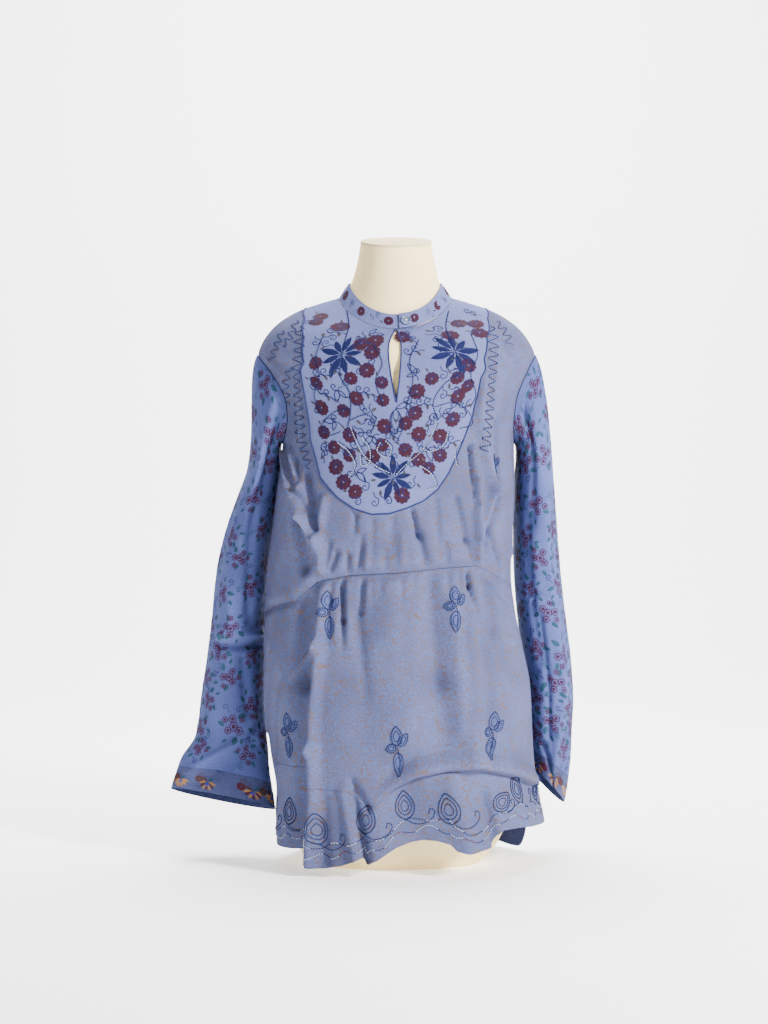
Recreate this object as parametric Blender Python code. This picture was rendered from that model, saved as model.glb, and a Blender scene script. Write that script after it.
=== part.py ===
"""A long-sleeved blouse with a round-ended bib, worn by a limbless dress form.

Run it with blender --background --python part.py, or from Blender's text editor.

Every length in the tables is in millimetres. The blouse is +Z up, its front faces -Y, and +X is on the
right of somebody who looks at the front. The origin is the middle of the dress form's flat base.

The body of the blouse is one smooth surface, given by rings. A point on it has two coordinates: the
angle round the body in degrees, 0 at the centre front, -90 and 90 at the side seams, 180 at the back,
and the level, which climbs from the hem to the neckline and is the height wherever the rings are flat.
Folds are raised from that surface along its normal. Each piece of cloth is a region of it, made a wall.
"""

import math

import bmesh
import bpy
import numpy as np
from mathutils.geometry import delaunay_2d_cdt

MM = 0.001

# Driving dimensions
CLOTH_WALL = 1.5
COLLAR_WALL = 2.0
SEAM_GAP = 0.35
FORM_CLEARANCE = 0.8
CUFF_HEIGHT = 40.0
BACK_BAND_LEVEL = 98.0
BUTTON_DIAMETER = 14.0
NECK_SLANT = math.tan(math.radians(14.0))
BUTTON_PROFILE = ((1.0, 1.8), (0.9, 2.4), (0.76, 2.2), (0.66, 1.5))

# Levels on the body surface
UNDERARM = 562.0
SHOULDER_TIP = 685.0
NECKLINE = 827.0

# How deep the armhole is cut into the front and back panels, in degrees round the body
ARMHOLE_FRONT_LEFT = 29.0
ARMHOLE_FRONT_RIGHT = 18.0
ARMHOLE_BACK = 25.0

MM_PER_DEGREE = 2.9
SIDE_GAP = 0.12
FRONT_ANGLES = np.linspace(-90 + SIDE_GAP, 90 - SIDE_GAP, 49)

RING_COLUMNS = (
    "level", "side_z", "front_z", "back_z", "left", "right", "front", "back", "dip", "square",
)
BODY_RINGS = (
    (0, 0, 0, 0, 160, 205, 151, 130, 2.0, 0.04),
    (50, 50, 50, 50, 161, 201, 150, 129, 2.0, 0.04),
    (95, 95, 95, 95, 161, 192, 147, 126, 2.0, 0.04),
    (150, 150, 150, 150, 169, 185, 143, 122, 2.0, 0.04),
    (235, 235, 235, 235, 178, 181, 134, 115, 2.0, 0.04),
    (292, 292, 292, 292, 178, 170, 127, 109, 2.0, 0.04),
    (340, 340, 340, 340, 176, 160, 120, 104, 2.0, 0.04),
    (390, 390, 390, 390, 174, 155, 114, 100, 2.0, 0.04),
    (446, 446, 446, 446, 167, 157, 121, 98, 2.0, 0.04),
    (500, 500, 497, 501, 161, 160, 125, 98, 2.0, 0.04),
    (562, 562, 548, 566, 153, 159, 121, 99, 2.0, 0.04),
    (620, 620, 594, 626, 162, 166, 112, 98, 1.9, 0.03),
    (665, 665, 628, 672, 180, 182, 103, 94, 1.8, 0.02),
    (685, 682, 643, 688, 186, 187, 99, 90, 1.7, 0.02),
    (700, 697, 654, 703, 181, 181, 95, 87, 1.6, 0.01),
    (730, 721, 674, 726, 163, 162, 88, 79, 1.5, 0.01),
    (769, 741, 693, 745, 132, 130, 80, 69, 1.4, 0.0),
    (799, 751, 703, 755, 104, 102, 73, 63, 1.3, 0.0),
    (827, 759, 711, 763, 77, 75, 67, 58, 1.3, 0.0),
)

# The dress form below the shoulders. Above them it follows the inside of the blouse.
FORM_RINGS = (
    (0, 0, 0, 0, 112, 112, 72, 68, 2.0, 0.03),
    (12, 12, 12, 12, 126, 126, 84, 79, 2.0, 0.03),
    (32, 32, 32, 32, 140, 140, 97, 91, 2.0, 0.03),
    (60, 60, 60, 60, 150, 150, 107, 100, 2.0, 0.03),
    (155, 155, 155, 155, 155, 155, 112, 106, 2.0, 0.03),
    (260, 260, 260, 260, 136, 136, 97, 92, 2.0, 0.03),
    (355, 355, 355, 355, 113, 113, 82, 76, 2.0, 0.03),
    (430, 430, 430, 430, 124, 124, 95, 82, 2.0, 0.03),
    (505, 505, 503, 506, 141, 141, 114, 87, 2.0, 0.03),
    (562, 562, 548, 566, 141, 141, 110, 89, 2.0, 0.03),
    (610, 605, 583, 611, 145, 145, 103, 88, 1.9, 0.03),
    (645, 638, 610, 646, 154, 154, 99, 88, 1.8, 0.02),
    (670, 660, 631, 670, 161, 161, 95, 85, 1.8, 0.02),
    (690, 679, 643, 687, 165, 165, 91, 81, 1.7, 0.02),
    (705, 692, 653, 699, 166, 166, 87, 78, 1.6, 0.01),
    (740, 718, 673, 724, 150, 150, 79, 71, 1.5, 0.01),
)
FORM_FOLLOWS_BLOUSE = (700.0, 735.0)
NECK_RINGS = (
    (0, 755.9, 708.4, 760.2, 75.8, 73.8, 64.6, 56.0, 1.3, 0.0),
    (1, 762, 714, 766, 70.6, 68.8, 62.0, 53.6, 1.3, 0.0),
    (1, 779, 731, 786, 60.4, 58.4, 54.8, 50.8, 1.3, 0.0),
    (2, 795, 757, 802, 55.0, 55.0, 53.0, 47.0, 1.2, 0.0),
    (3, 812, 786, 823, 51.0, 51.0, 52.0, 43.0, 1.1, 0.0),
)
NECK_TOP = {"height": 836.5, "half_width": 47.6, "front": 52.0, "back": 40.0, "cap": 3.0}
COLLAR_TOP = (0, 779, 731, 786, 63.6, 61.4, 58.0, 54.0, 1.3, 0.0)

# Boundaries of the front pieces, seen from the front
OUTLINE_COLUMNS = ("x", "z")
WAIST_SEAM = (
    (-177, 335), (-130, 353), (-98, 380), (-60, 388), (0, 391), (60, 397), (102, 400), (128, 387),
    (157, 367),
)
BAND_TOP = (
    (-161, 142), (-120, 138), (-106, 114), (-60, 112), (-52, 103), (-40, 94), (-28, 94), (-2, 115), (27, 130),
    (66, 138), (104, 138), (140, 128), (172, 112), (192, 96),
)
FRONT_HEM = (
    (-161, 24), (-139, 30), (-120, 32), (-108.5, 34), (-106.5, 11), (-91, 12), (-69, 17), (-52, 24),
    (-42, 29), (-38, 19), (-23, 26), (-12, 34), (1, 42), (18, 48), (35, 51), (52, 50), (69, 45),
    (75, 37), (88, 33), (103, 35), (121, 38), (126, 52), (134, 59), (152, 60), (176, 58), (201, 53),
)
BIB_OUTLINE = (
    (-121, 728), (-120, 700), (-119, 665), (-115, 615), (-107, 563), (-94, 514), (-74, 489),
    (-53, 474), (-31, 467), (-8, 468), (14, 475), (35, 484), (53, 499), (66, 519), (77, 543),
    (87, 569), (97, 595), (104, 621), (109, 645), (115, 672), (119, 700), (122, 728),
)
KEYHOLE = (
    (2.0, 708), (6.1, 695), (6.6, 675), (4.9, 647), (1.8, 621), (0.2, 612), (-3.9, 632), (-7.4, 655),
    (-9.8, 675), (-8.2, 695), (-2.0, 709),
)

# The back's hem, from the right side seam round to the left one
BACK_HEM_COLUMNS = ("angle", "level")
BACK_HEM = (
    (90, 53), (104, 51), (112, 45), (118, 33), (127, 5), (138, 8), (150, 13), (180, 17), (210, 14),
    (240, 16), (262, 22), (270, 24),
)

# Folds. Each row is a ridge, or where its rise is negative a trough, from one point to another.
FOLD_COLUMNS = ("x0", "z0", "x1", "z1", "half_width", "rise0", "rise1")
SKIRT_FOLDS = (
    # the centre front stands forward of the sides, and its left edge is a long ridge
    (-92, 376, -98, 292, 9, 5, 9), (-98, 292, -104, 163, 9, 9, 10), (-104, 163, -106, 16, 10, 10, 12),
    (-112, 372, -116, 250, 13, -7, -10), (-116, 250, -122, 30, 14, -10, -12),
    # pleats that start at the waist seam
    (-69, 388, -68, 330, 8, -7, -5), (-68, 330, -68, 290, 8, -5, -1),
    (-43, 390, -46, 340, 8, -4, -3), (-50, 340, -38, 228, 8, -5, -1),
    (-8, 385, 2, 200, 24, 5, 7),
    (43, 395, 52, 250, 15, -8, -8), (52, 250, 62, 150, 17, -8, -4),
    (90, 396, 93, 372, 8, -6, -6), (93, 372, 102, 342, 8, -6, -1),
    (94, 330, 98, 150, 12, 5, 5),
    # creases that run down from the ends of the waist gathers to the side seams
    (-95, 387, -127, 355, 8, -7, -5), (-118, 380, -173, 338, 8, -5, -3),
    (-100, 301, -132, 256, 8, 4, 2), (-100, 286, -132, 244, 8, -3, -1),
    (117, 372, 125, 315, 12, -7, -6), (125, 315, 160, 219, 15, -6, -2),
    # waves of the hem band
    (-55, 125, -36, 92, 8, -4, -6), (-55, 112, -38, 24, 8, -6, -11), (-68, 112, -50, 20, 8, 3, 7),
    (10, 120, 28, 48, 24, -7, -10), (70, 132, 90, 34, 15, 5, 12), (112, 105, 123, 42, 8, -6, -8),
    (140, 110, 165, 52, 20, 4, 7), (-150, 130, -150, 50, 16, 3, 6),
)
BODICE_FOLDS = (
    # gathers between the bib and the waist seam
    (-52, 470, -53, 443, 9, -3, -2), (-44, 438, -46, 402, 9, -2, -3), (-61, 414, -60, 393, 9, -3, -5),
    (-75, 417, -81, 394, 9, -3, -3), (-4, 467, -6, 420, 9, -2, -1),
    (19, 474, 29, 438, 9, -4, -5), (29, 438, 36, 404, 9, -7, -6),
    (76, 486, 88, 432, 9, -4, -4), (88, 432, 92, 406, 9, -4, -3), (101, 510, 102, 404, 9, 4, 5),
    (-90, 486, -99, 437, 9, 4, 5), (-99, 437, -93, 390, 9, 5, 4),
    # two soft tubes of cloth that fall from the left armhole to the waist
    (-144, 548, -115, 462, 9, 5, 5), (-115, 462, -101, 425, 9, 5, 3),
    (-134, 548, -121, 502, 9, 3, 4), (-121, 502, -109, 436, 9, 4, 3),
    (-112, 520, -99, 446, 9, -5, -6), (-124, 462, -114, 398, 9, -7, -8),
    # the raised panel of cloth beside the right edge of the bib
    (93, 556, 99, 478, 9, -5, -5), (108, 635, 121, 500, 10, 2, 7), (121, 500, 104, 438, 9, 6, 3),
    (128, 590, 131, 490, 9, -3, -5), (131, 490, 114, 430, 9, -5, -7), (116, 446, 142, 380, 9, -5, -4),
    (145, 560, 148, 420, 10, 3, 5), (140, 690, 142, 610, 10, -3, -4),
    (-150, 650, -143, 570, 9, 2, 3),
)
BACK_COLUMNS = ("angle0", "level0", "angle1", "level1", "half_width", "rise0", "rise1")
BACK_FOLDS = (
    (116, 520, 114, 20, 16, -4, -9), (137, 610, 140, 20, 17, 3, 9), (160, 570, 158, 20, 14, -3, -8),
    (181, 520, 182, 20, 18, 2, 7), (204, 570, 205, 20, 14, -4, -8), (224, 610, 221, 20, 16, 3, 8),
    (244, 520, 246, 20, 15, -4, -8), (150, 650, 126, 520, 10, -3, -2), (212, 655, 236, 525, 10, -3, -2),
)

# The tuck across the lower right of the skirt: the cloth rolls out over the hem band
TUCK = {"from": -11.0, "full_from": 4.0, "full_to": 62.0, "to": 96.0, "roll": 10.0, "recess": 6.0}

SLEEVE_COLUMNS = (
    "z", "centre_x", "centre_y", "half_out", "half_deep", "outer_side_down", "front_up",
)
SLEEVE_LEFT = (
    (516, -182, 36, 25, 72, 0, 0), (446, -199.5, 44, 33.5, 68, 0, 0), (392, -210, 48, 36, 65, 0, 0),
    (324, -216, 48, 37, 62, 0, 0), (270, -219.5, 46, 40, 58, 0, 0), (216, -224, 42, 43, 54, -2, 4),
    (162, -225, 36, 49, 47, -5, 9), (122, -233, 28, 62, 37, -9, 14), (80, -235, 21, 72.5, 27, -11, 18),
)
SLEEVE_RIGHT = (
    (516, 188.5, 34, 26.5, 71, 0, 0), (446, 191, 46, 30, 67, 0, 0), (392, 194, 52, 32, 62, 0, 0),
    (338, 199, 55, 33, 60, 0, 0), (270, 207, 57, 34, 58, 4, 0), (216, 211, 59, 34, 56, 10, 2),
    (176, 210, 61, 34, 54, 18, 4), (134, 210, 62, 35, 52, 32, 7), (94, 208, 63, 35, 49, 45, 10),
)
SLEEVE_FOLD_COLUMNS = ("turn0", "place0", "turn1", "place1", "half_width", "rise0", "rise1")
SLEEVE_LEFT_FOLDS = (
    (112, -0.85, 112, 0.02, 14, -7, -5), (78, -0.8, 84, 0.15, 9, 4, 5),
    (55, 0.415, 150, 0.415, 7, 5, 5), (55, 0.455, 150, 0.455, 7, -6, -6),
    (135, 0.68, 45, 0.93, 7, 6, 6), (135, 0.77, 60, 0.97, 9, -5, -4),
    (30, 0.1, 40, 0.38, 8, -3, -2), (230, 0.2, 250, 0.7, 12, -4, -3), (300, 0.1, 290, 0.6, 12, 3, 3),
)
SLEEVE_RIGHT_FOLDS = (
    (100, -0.8, 105, 0.1, 12, -6, -4), (45, 0.35, 125, 0.33, 7, -4, -4), (70, 0.05, 60, 0.6, 10, 3, 4),
    (100, 0.4, 95, 0.8, 9, -4, -4), (60, 0.62, 85, 0.95, 8, 4, 4), (110, 0.85, 75, 1.0, 7, -4, -4),
    (230, 0.2, 250, 0.7, 12, -4, -3), (300, 0.1, 290, 0.6, 12, 3, 3),
)
SLEEVE_LEAVES_BODY = {"top": 95.0, "front": 55.0, "under": 22.0}

COLOURS = {
    "body_cloth": ((0.33, 0.36, 0.52), 0.85, 0.0),
    "bib_cloth": ((0.35, 0.37, 0.58), 0.7, 0.0),
    "sleeve_cloth": ((0.27, 0.32, 0.60), 0.75, 0.0),
    "cuff_cloth": ((0.40, 0.42, 0.56), 0.8, 0.0),
    "button_pearl": ((0.62, 0.64, 0.70), 0.3, 0.0),
    "form_jersey": ((0.90, 0.82, 0.66), 0.9, 0.0),
}


def smooth_step(value):
    value = np.clip(value, 0.0, 1.0)
    return value * value * (3 - 2 * value)


def smooth_through(at, places, values):
    """Monotone cubic interpolation: it passes through every value and never overshoots one."""
    places, values = np.asarray(places, float), np.asarray(values, float)
    run = np.diff(places)
    slope = np.diff(values) / run
    same_way = slope[1:] * slope[:-1] > 0
    inner = np.zeros(len(slope) - 1)
    weight_a, weight_b = 2 * run[1:] + run[:-1], run[1:] + 2 * run[:-1]
    low, high = slope[:-1][same_way], slope[1:][same_way]
    inner[same_way] = (weight_a + weight_b)[same_way] / (
        weight_a[same_way] / low + weight_b[same_way] / high
    )
    tangent = np.concatenate([slope[:1], inner, slope[-1:]])
    at = np.clip(at, places[0], places[-1])
    index = np.clip(np.searchsorted(places, at, side="right") - 1, 0, len(run) - 1)
    t = (at - places[index]) / run[index]
    return (
        values[index] * (1 + 2 * t) * (1 - t) ** 2
        + tangent[index] * run[index] * t * (1 - t) ** 2
        + values[index + 1] * t * t * (3 - 2 * t)
        + tangent[index + 1] * run[index] * t * t * (t - 1)
    )


def column(columns, table, name):
    return np.array([row[columns.index(name)] for row in table], float)


def ring_point(read, angle):
    """A point of a ring, where read(name) gives that column of the ring."""
    turn = np.radians(angle)
    across, ahead = np.sin(turn), np.cos(turn)
    width = np.where(across < 0, read("left"), read("right"))
    depth = np.where(ahead > 0, read("front"), read("back"))
    middle_z = np.where(ahead > 0, read("front_z"), read("back_z"))
    corner = 1 + read("square") * np.sin(2 * turn) ** 2
    height = read("side_z") + (middle_z - read("side_z")) * np.abs(ahead) ** read("dip")
    return np.stack([width * across * corner, -depth * ahead * corner, height], -1)


def ring_surface(rings, angle, level):
    levels = column(RING_COLUMNS, rings, "level")
    return ring_point(
        lambda name: smooth_through(level, levels, column(RING_COLUMNS, rings, name)), angle
    )


def single_ring(ring, angle):
    return ring_point(lambda name: ring[RING_COLUMNS.index(name)], angle)


def body_base(angle, level):
    """The smooth outer surface of the blouse, with no folds."""
    return ring_surface(BODY_RINGS, angle, level)


def unit(vectors):
    return vectors / np.linalg.norm(vectors, axis=-1, keepdims=True)


def surface_normal(surface, first, second, first_step=1.2, second_step=3.0, limits=(0.0, NECKLINE)):
    along_first = surface(first + first_step, second) - surface(first - first_step, second)
    higher, lower = np.clip(second + second_step, *limits), np.clip(second - second_step, *limits)
    return unit(np.cross(along_first, surface(first, higher) - surface(first, lower)))


def from_front(x, z):
    """The angle and level of the point that the front view shows at x, z."""
    low, high = np.full(np.shape(x), 0.0), np.full(np.shape(x), NECKLINE)
    levels = column(RING_COLUMNS, BODY_RINGS, "level")
    side = np.where(np.asarray(x) < 0, -1.0, 1.0)
    for _ in range(40):
        level = (low + high) / 2
        half = np.where(
            side < 0,
            smooth_through(level, levels, column(RING_COLUMNS, BODY_RINGS, "left")),
            smooth_through(level, levels, column(RING_COLUMNS, BODY_RINGS, "right")),
        )
        angle = np.degrees(np.arcsin(np.clip(np.asarray(x) / half, -1, 1)))
        above = body_base(angle, level)[..., 2] > z
        low, high = np.where(above, low, level), np.where(above, level, high)
    return angle, level


def outline_on_surface(outline):
    return from_front(
        column(OUTLINE_COLUMNS, outline, "x"), column(OUTLINE_COLUMNS, outline, "z")
    )


def boundary_level(outline):
    """The level of a seam or hem of the front as a function of the angle."""
    angles, levels = outline_on_surface(outline)
    angles[0], angles[-1] = -90.0, 90.0
    return lambda angle: np.interp(angle, angles, levels)


waist_level = boundary_level(WAIST_SEAM)
band_level = boundary_level(BAND_TOP)
front_hem_level = boundary_level(FRONT_HEM)


def back_hem_level(angle):
    angles = column(BACK_HEM_COLUMNS, BACK_HEM, "angle")
    return smooth_through(angle, angles, column(BACK_HEM_COLUMNS, BACK_HEM, "level"))


def placed_folds(folds):
    """The folds with their ends as angle and level, in the columns of the back folds."""
    placed = []
    for x0, z0, x1, z1, half_width, rise0, rise1 in folds:
        (angle0, angle1), (level0, level1) = from_front(np.array([x0, x1]), np.array([z0, z1]))
        placed.append((angle0, level0, angle1, level1, half_width, rise0, rise1))
    return tuple(placed)


def fold_rise(folds, first, second, first_scale, second_scale=1.0):
    """How far the folds lift the cloth at each point."""
    total = np.zeros(np.broadcast(first, second).shape)
    for first0, second0, first1, second1, half_width, rise0, rise1 in folds:
        run = np.array([(first1 - first0) * first_scale, (second1 - second0) * second_scale])
        from_start = (first - first0) * first_scale, (second - second0) * second_scale
        share = np.clip((from_start[0] * run[0] + from_start[1] * run[1]) / (run @ run), 0, 1)
        off_line = np.hypot(from_start[0] - share * run[0], from_start[1] - share * run[1])
        total += (rise0 + (rise1 - rise0) * share) * np.exp(-((off_line / half_width) ** 2))
    return total


PLACED_SKIRT = placed_folds(SKIRT_FOLDS)
PLACED_BODICE = placed_folds(BODICE_FOLDS)


def resampled(points, spacing):
    """The polyline with a point about every spacing, its own points kept."""
    made = [points[0]]
    for start, end in zip(points[:-1], points[1:]):
        pieces = max(1, round(float(np.linalg.norm(end - start)) / spacing))
        made += [start + (end - start) * (k + 1) / pieces for k in range(pieces)]
    return np.array(made)


def bib_edge(spacing):
    """The seam round the bib on the flat map, from the left shoulder seam to the right one."""
    angle, level = outline_on_surface(BIB_OUTLINE)
    half = column(RING_COLUMNS, BODY_RINGS, "left")
    levels = column(RING_COLUMNS, BODY_RINGS, "level")
    above_tip = levels >= SHOULDER_TIP
    start = np.interp(-abs(BIB_OUTLINE[0][0]), -half[above_tip], levels[above_tip])
    end = np.interp(-abs(BIB_OUTLINE[-1][0]), -half[above_tip], levels[above_tip])
    angle = np.concatenate([[-90 + SIDE_GAP], angle, [90 - SIDE_GAP]])
    level = np.concatenate([[start], level, [end]])
    return resampled(np.stack([angle * MM_PER_DEGREE, level], -1), spacing)


def distance_to(line, points):
    """The distance from each point to a polyline, on the flat map."""
    nearest = np.full(points.shape[:-1], np.inf)
    for start, end in zip(line[:-1], line[1:]):
        run = end - start
        share = np.clip(((points - start) @ run) / (run @ run), 0, 1)
        nearest = np.minimum(nearest, np.linalg.norm(points - start - share[..., None] * run, axis=-1))
    return nearest


def inside(polygon, points):
    x, y = points[..., 0], points[..., 1]
    found = np.zeros(x.shape, bool)
    for (x0, y0), (x1, y1) in zip(polygon, np.roll(polygon, -1, axis=0)):
        if y0 == y1:
            continue
        crosses = ((y0 > y) != (y1 > y)) & (x < (x1 - x0) * (y - y0) / (y1 - y0) + x0)
        found ^= crosses
    return found


def armhole(turn, side, front_depth):
    """The armhole on the body surface. Turn 0 is the shoulder tip, 90 the front, 180 the underarm."""
    half_turn = np.radians(turn)
    level = UNDERARM + (SHOULDER_TIP - UNDERARM) * (1 + np.cos(half_turn)) / 2
    depth = np.where(np.sin(half_turn) > 0, front_depth, ARMHOLE_BACK)
    notch = depth * np.abs(np.sin(half_turn)) ** 0.8 * np.sign(np.sin(half_turn))
    return side * (90 - notch), level


def armhole_edge(side, front_depth, turns):
    """The armhole's edge on the flat map, where the left side of the back lies past 180 degrees."""
    angle, level = armhole(turns, side, front_depth)
    if side < 0 and turns.max() > 180:
        angle = angle + 360
    return np.stack([angle * MM_PER_DEGREE, level], -1)


BIB_SEAM = bib_edge(12.0)
FRONT_ARMHOLES = (
    armhole_edge(-1, ARMHOLE_FRONT_LEFT, np.linspace(0, 180, 17)),
    armhole_edge(1, ARMHOLE_FRONT_RIGHT, np.linspace(0, 180, 17)),
)
BIB_REGION = np.concatenate([BIB_SEAM, [[261, 900], [-261, 900]]])


def tuck_strength(angle):
    rising = smooth_step((angle - TUCK["from"]) / (TUCK["full_from"] - TUCK["from"]))
    falling = smooth_step((TUCK["to"] - angle) / (TUCK["to"] - TUCK["full_to"]))
    return rising * falling


def front_rise(angle, level):
    """How far the front's folds stand out from the smooth surface."""
    above_waist = level - waist_level(angle)
    above_band = level - band_level(angle)
    seam_fade = 1 - np.exp(-((above_waist / 9) ** 2))
    skirt = fold_rise(PLACED_SKIRT, angle, level, MM_PER_DEGREE)
    bodice = fold_rise(PLACED_BODICE, angle, level, MM_PER_DEGREE)
    on_map = np.stack(np.broadcast_arrays(angle * MM_PER_DEGREE, level), -1)
    off_bib = smooth_step(distance_to(BIB_SEAM, on_map) / 8)
    off_armholes = smooth_step(distance_to(FRONT_ARMHOLES[0], on_map) / 16)
    off_armholes = off_armholes * smooth_step(distance_to(FRONT_ARMHOLES[1], on_map) / 16)
    bodice = np.where(inside(BIB_REGION, on_map), 0.0, bodice * off_bib * off_armholes)
    gathered = smooth_step((46 - np.abs(angle)) / 12)
    blousing = 6 * gathered * np.exp(-(((above_waist - 16) / 14) ** 2)) * (above_waist > 0)
    drawn_in = -4 * np.exp(-((above_waist / 7) ** 2))
    roll = TUCK["roll"] * np.exp(-(((above_band - 11) / 8) ** 2))
    crease = -4 * np.exp(-(((above_band - 30) / 7) ** 2))
    behind = np.where(above_band < 0, smooth_step((above_band + 70) / 60), np.exp(-((above_band / 5) ** 2)))
    tuck = tuck_strength(angle) * (roll + crease - TUCK["recess"] * behind)
    return np.where(above_waist > 0, bodice, skirt) * seam_fade + blousing + drawn_in + tuck


def back_rise(angle, level):
    free_of_sides = smooth_step((90 - np.abs(angle - 180)) / 12)
    return fold_rise(BACK_FOLDS, angle, level, MM_PER_DEGREE) * free_of_sides


def front_surface(angle, level):
    """The outer face of the front of the blouse, folds and all."""
    sides = smooth_step((90 - np.abs(angle)) / 6)
    rise = front_rise(angle, level) * sides
    point = body_base(angle, level) + surface_normal(body_base, angle, level) * rise[..., None]
    above_band = level - band_level(angle)
    droop = tuck_strength(angle) * sides * 6 * np.exp(-(((above_band - 9) / 7) ** 2))
    point[..., 2] -= droop
    return point


def back_surface(angle, level):
    rise = back_rise(angle, level)
    return body_base(angle, level) + surface_normal(body_base, angle, level) * rise[..., None]


def raised(surface, angle, level, rise):
    """Points that lie off a surface by rise, which is negative on its inside."""
    return surface(angle, level) + surface_normal(surface, angle, level) * rise


def material(name):
    colour, roughness, metallic = COLOURS[name]
    made = bpy.data.materials.get(name) or bpy.data.materials.new(name)
    made.use_nodes = True
    shader = made.node_tree.nodes["Principled BSDF"]
    shader.inputs["Base Color"].default_value = (*colour, 1.0)
    shader.inputs["Roughness"].default_value = roughness
    shader.inputs["Metallic"].default_value = metallic
    return made


def add_object(name, points, faces, material_name):
    mesh = bpy.data.meshes.new(name)
    mesh.from_pydata([tuple(point * MM) for point in points], [], [tuple(face) for face in faces])
    shell = bmesh.new()
    shell.from_mesh(mesh)
    bmesh.ops.recalc_face_normals(shell, faces=shell.faces)
    if shell.calc_volume(signed=True) < 0:
        bmesh.ops.reverse_faces(shell, faces=shell.faces)
    shell.to_mesh(mesh)
    shell.free()
    mesh.materials.append(material(material_name))
    mesh.shade_smooth()
    mesh.set_sharp_from_angle(angle=math.radians(50))
    made = bpy.data.objects.new(name, mesh)
    bpy.context.scene.collection.objects.link(made)
    return made


def add_wall(name, outer, inner, faces, material_name):
    """A closed wall between two sheets of points that share one list of faces."""
    count = len(outer)
    directed = {edge for face in faces for edge in zip(face, (*face[1:], face[0]))}
    rim = [(a, b) for a, b in directed if (b, a) not in directed]
    whole = [tuple(face) for face in faces]
    whole += [tuple(corner + count for corner in reversed(face)) for face in faces]
    for a, b in sorted(rim):
        whole += [(b, a, a + count), (b, a + count, b + count)]
    return add_object(name, np.concatenate([outer, inner]), whole, material_name)


def grid_faces(rows, columns, closed=False):
    """Triangles over a grid of points, so that both faces of a wall are split the same way."""
    faces = []
    for row in range(rows - 1):
        for place in range(columns if closed else columns - 1):
            here, beside = row * columns + place, row * columns + (place + 1) % columns
            faces += [(here, beside, beside + columns), (here, beside + columns, here + columns)]
    return faces


def half_seam(boundary, angle):
    """Half of a seam's gap, measured up the levels from a boundary that slopes."""
    slope = (boundary(angle + 1) - boundary(angle - 1)) / (2 * MM_PER_DEGREE)
    return SEAM_GAP / 2 * (0.6 + np.hypot(1, slope) * 0.6)


def add_grid_panel(name, surface, angles, low_level, high_level, shares, material_name):
    """A panel between two boundaries, with a row of points at each share of the way up."""
    angle, share = np.meshgrid(angles, shares)
    low = low_level(angle) + half_seam(low_level, angle)
    high = high_level(angle) - half_seam(high_level, angle)
    angle, level = angle.ravel(), (low + (high - low) * share).ravel()
    outer = raised(surface, angle, level, 0.0)
    inner = raised(surface, angle, level, -CLOTH_WALL)
    faces = grid_faces(len(shares), len(angles))
    return add_wall(name, outer, inner, faces, material_name)


def add_cut_panel(name, surface, polygon, spacing, material_name):
    """A panel of any outline on the flat map, filled with points on a staggered grid."""
    low, high = polygon.min(0), polygon.max(0)
    row_height = spacing * math.sqrt(3) / 2
    filling = []
    for index, y in enumerate(np.arange(low[1] + row_height / 2, high[1], row_height)):
        offset = spacing / 2 if index % 2 else 0.0
        filling += [(x, y) for x in np.arange(low[0] + offset, high[0], spacing)]
    filling = np.array(filling)
    closed = np.concatenate([polygon, polygon[:1]])
    filling = filling[inside(polygon, filling) & (distance_to(closed, filling) > spacing * 0.55)]
    points = np.concatenate([polygon, filling])
    edges = [(k, (k + 1) % len(polygon)) for k in range(len(polygon))]
    made = delaunay_2d_cdt([tuple(p) for p in points], edges, [], 0, 1e-5)
    on_map = np.array([tuple(p) for p in made[0]])
    faces = [tuple(face) for face in made[2]]
    middles = np.array([on_map[list(face)].mean(0) for face in faces])
    faces = [face for face, kept in zip(faces, inside(polygon, middles)) if kept]
    angle, level = on_map[:, 0] / MM_PER_DEGREE, on_map[:, 1]
    outer = surface(angle, level)
    inner = raised(surface, angle, level, -CLOTH_WALL)
    return add_wall(name, outer, inner, faces, material_name)


def moved_sideways(line, distance):
    """The polyline moved to its left by a distance, on the flat map."""
    run = np.gradient(line, axis=0)
    run /= np.linalg.norm(run, axis=1, keepdims=True)
    return line + np.stack([-run[:, 1], run[:, 0]], -1) * distance


def build_bib():
    seam = moved_sideways(BIB_SEAM, SEAM_GAP / 2)
    keyhole_angle, keyhole_level = outline_on_surface(KEYHOLE)
    keyhole = np.stack([keyhole_angle * MM_PER_DEGREE, keyhole_level], -1)
    top = NECKLINE - SEAM_GAP
    right_end, left_end = seam[-1], seam[0]
    slit_right, slit_left = [1.6, top], [-1.6, top]
    up_right = resampled(np.array([right_end, [right_end[0], top]]), 12)
    neck_right = resampled(np.array([[right_end[0], top], slit_right]), 12)
    neck_left = resampled(np.array([slit_left, [left_end[0], top]]), 12)
    down_left = resampled(np.array([[left_end[0], top], left_end]), 12)
    polygon = np.concatenate(
        [seam, up_right[1:], neck_right[1:], keyhole, neck_left, down_left[1:-1]]
    )
    add_cut_panel("bib", front_surface, polygon, 18.0, "bib_cloth")


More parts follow.
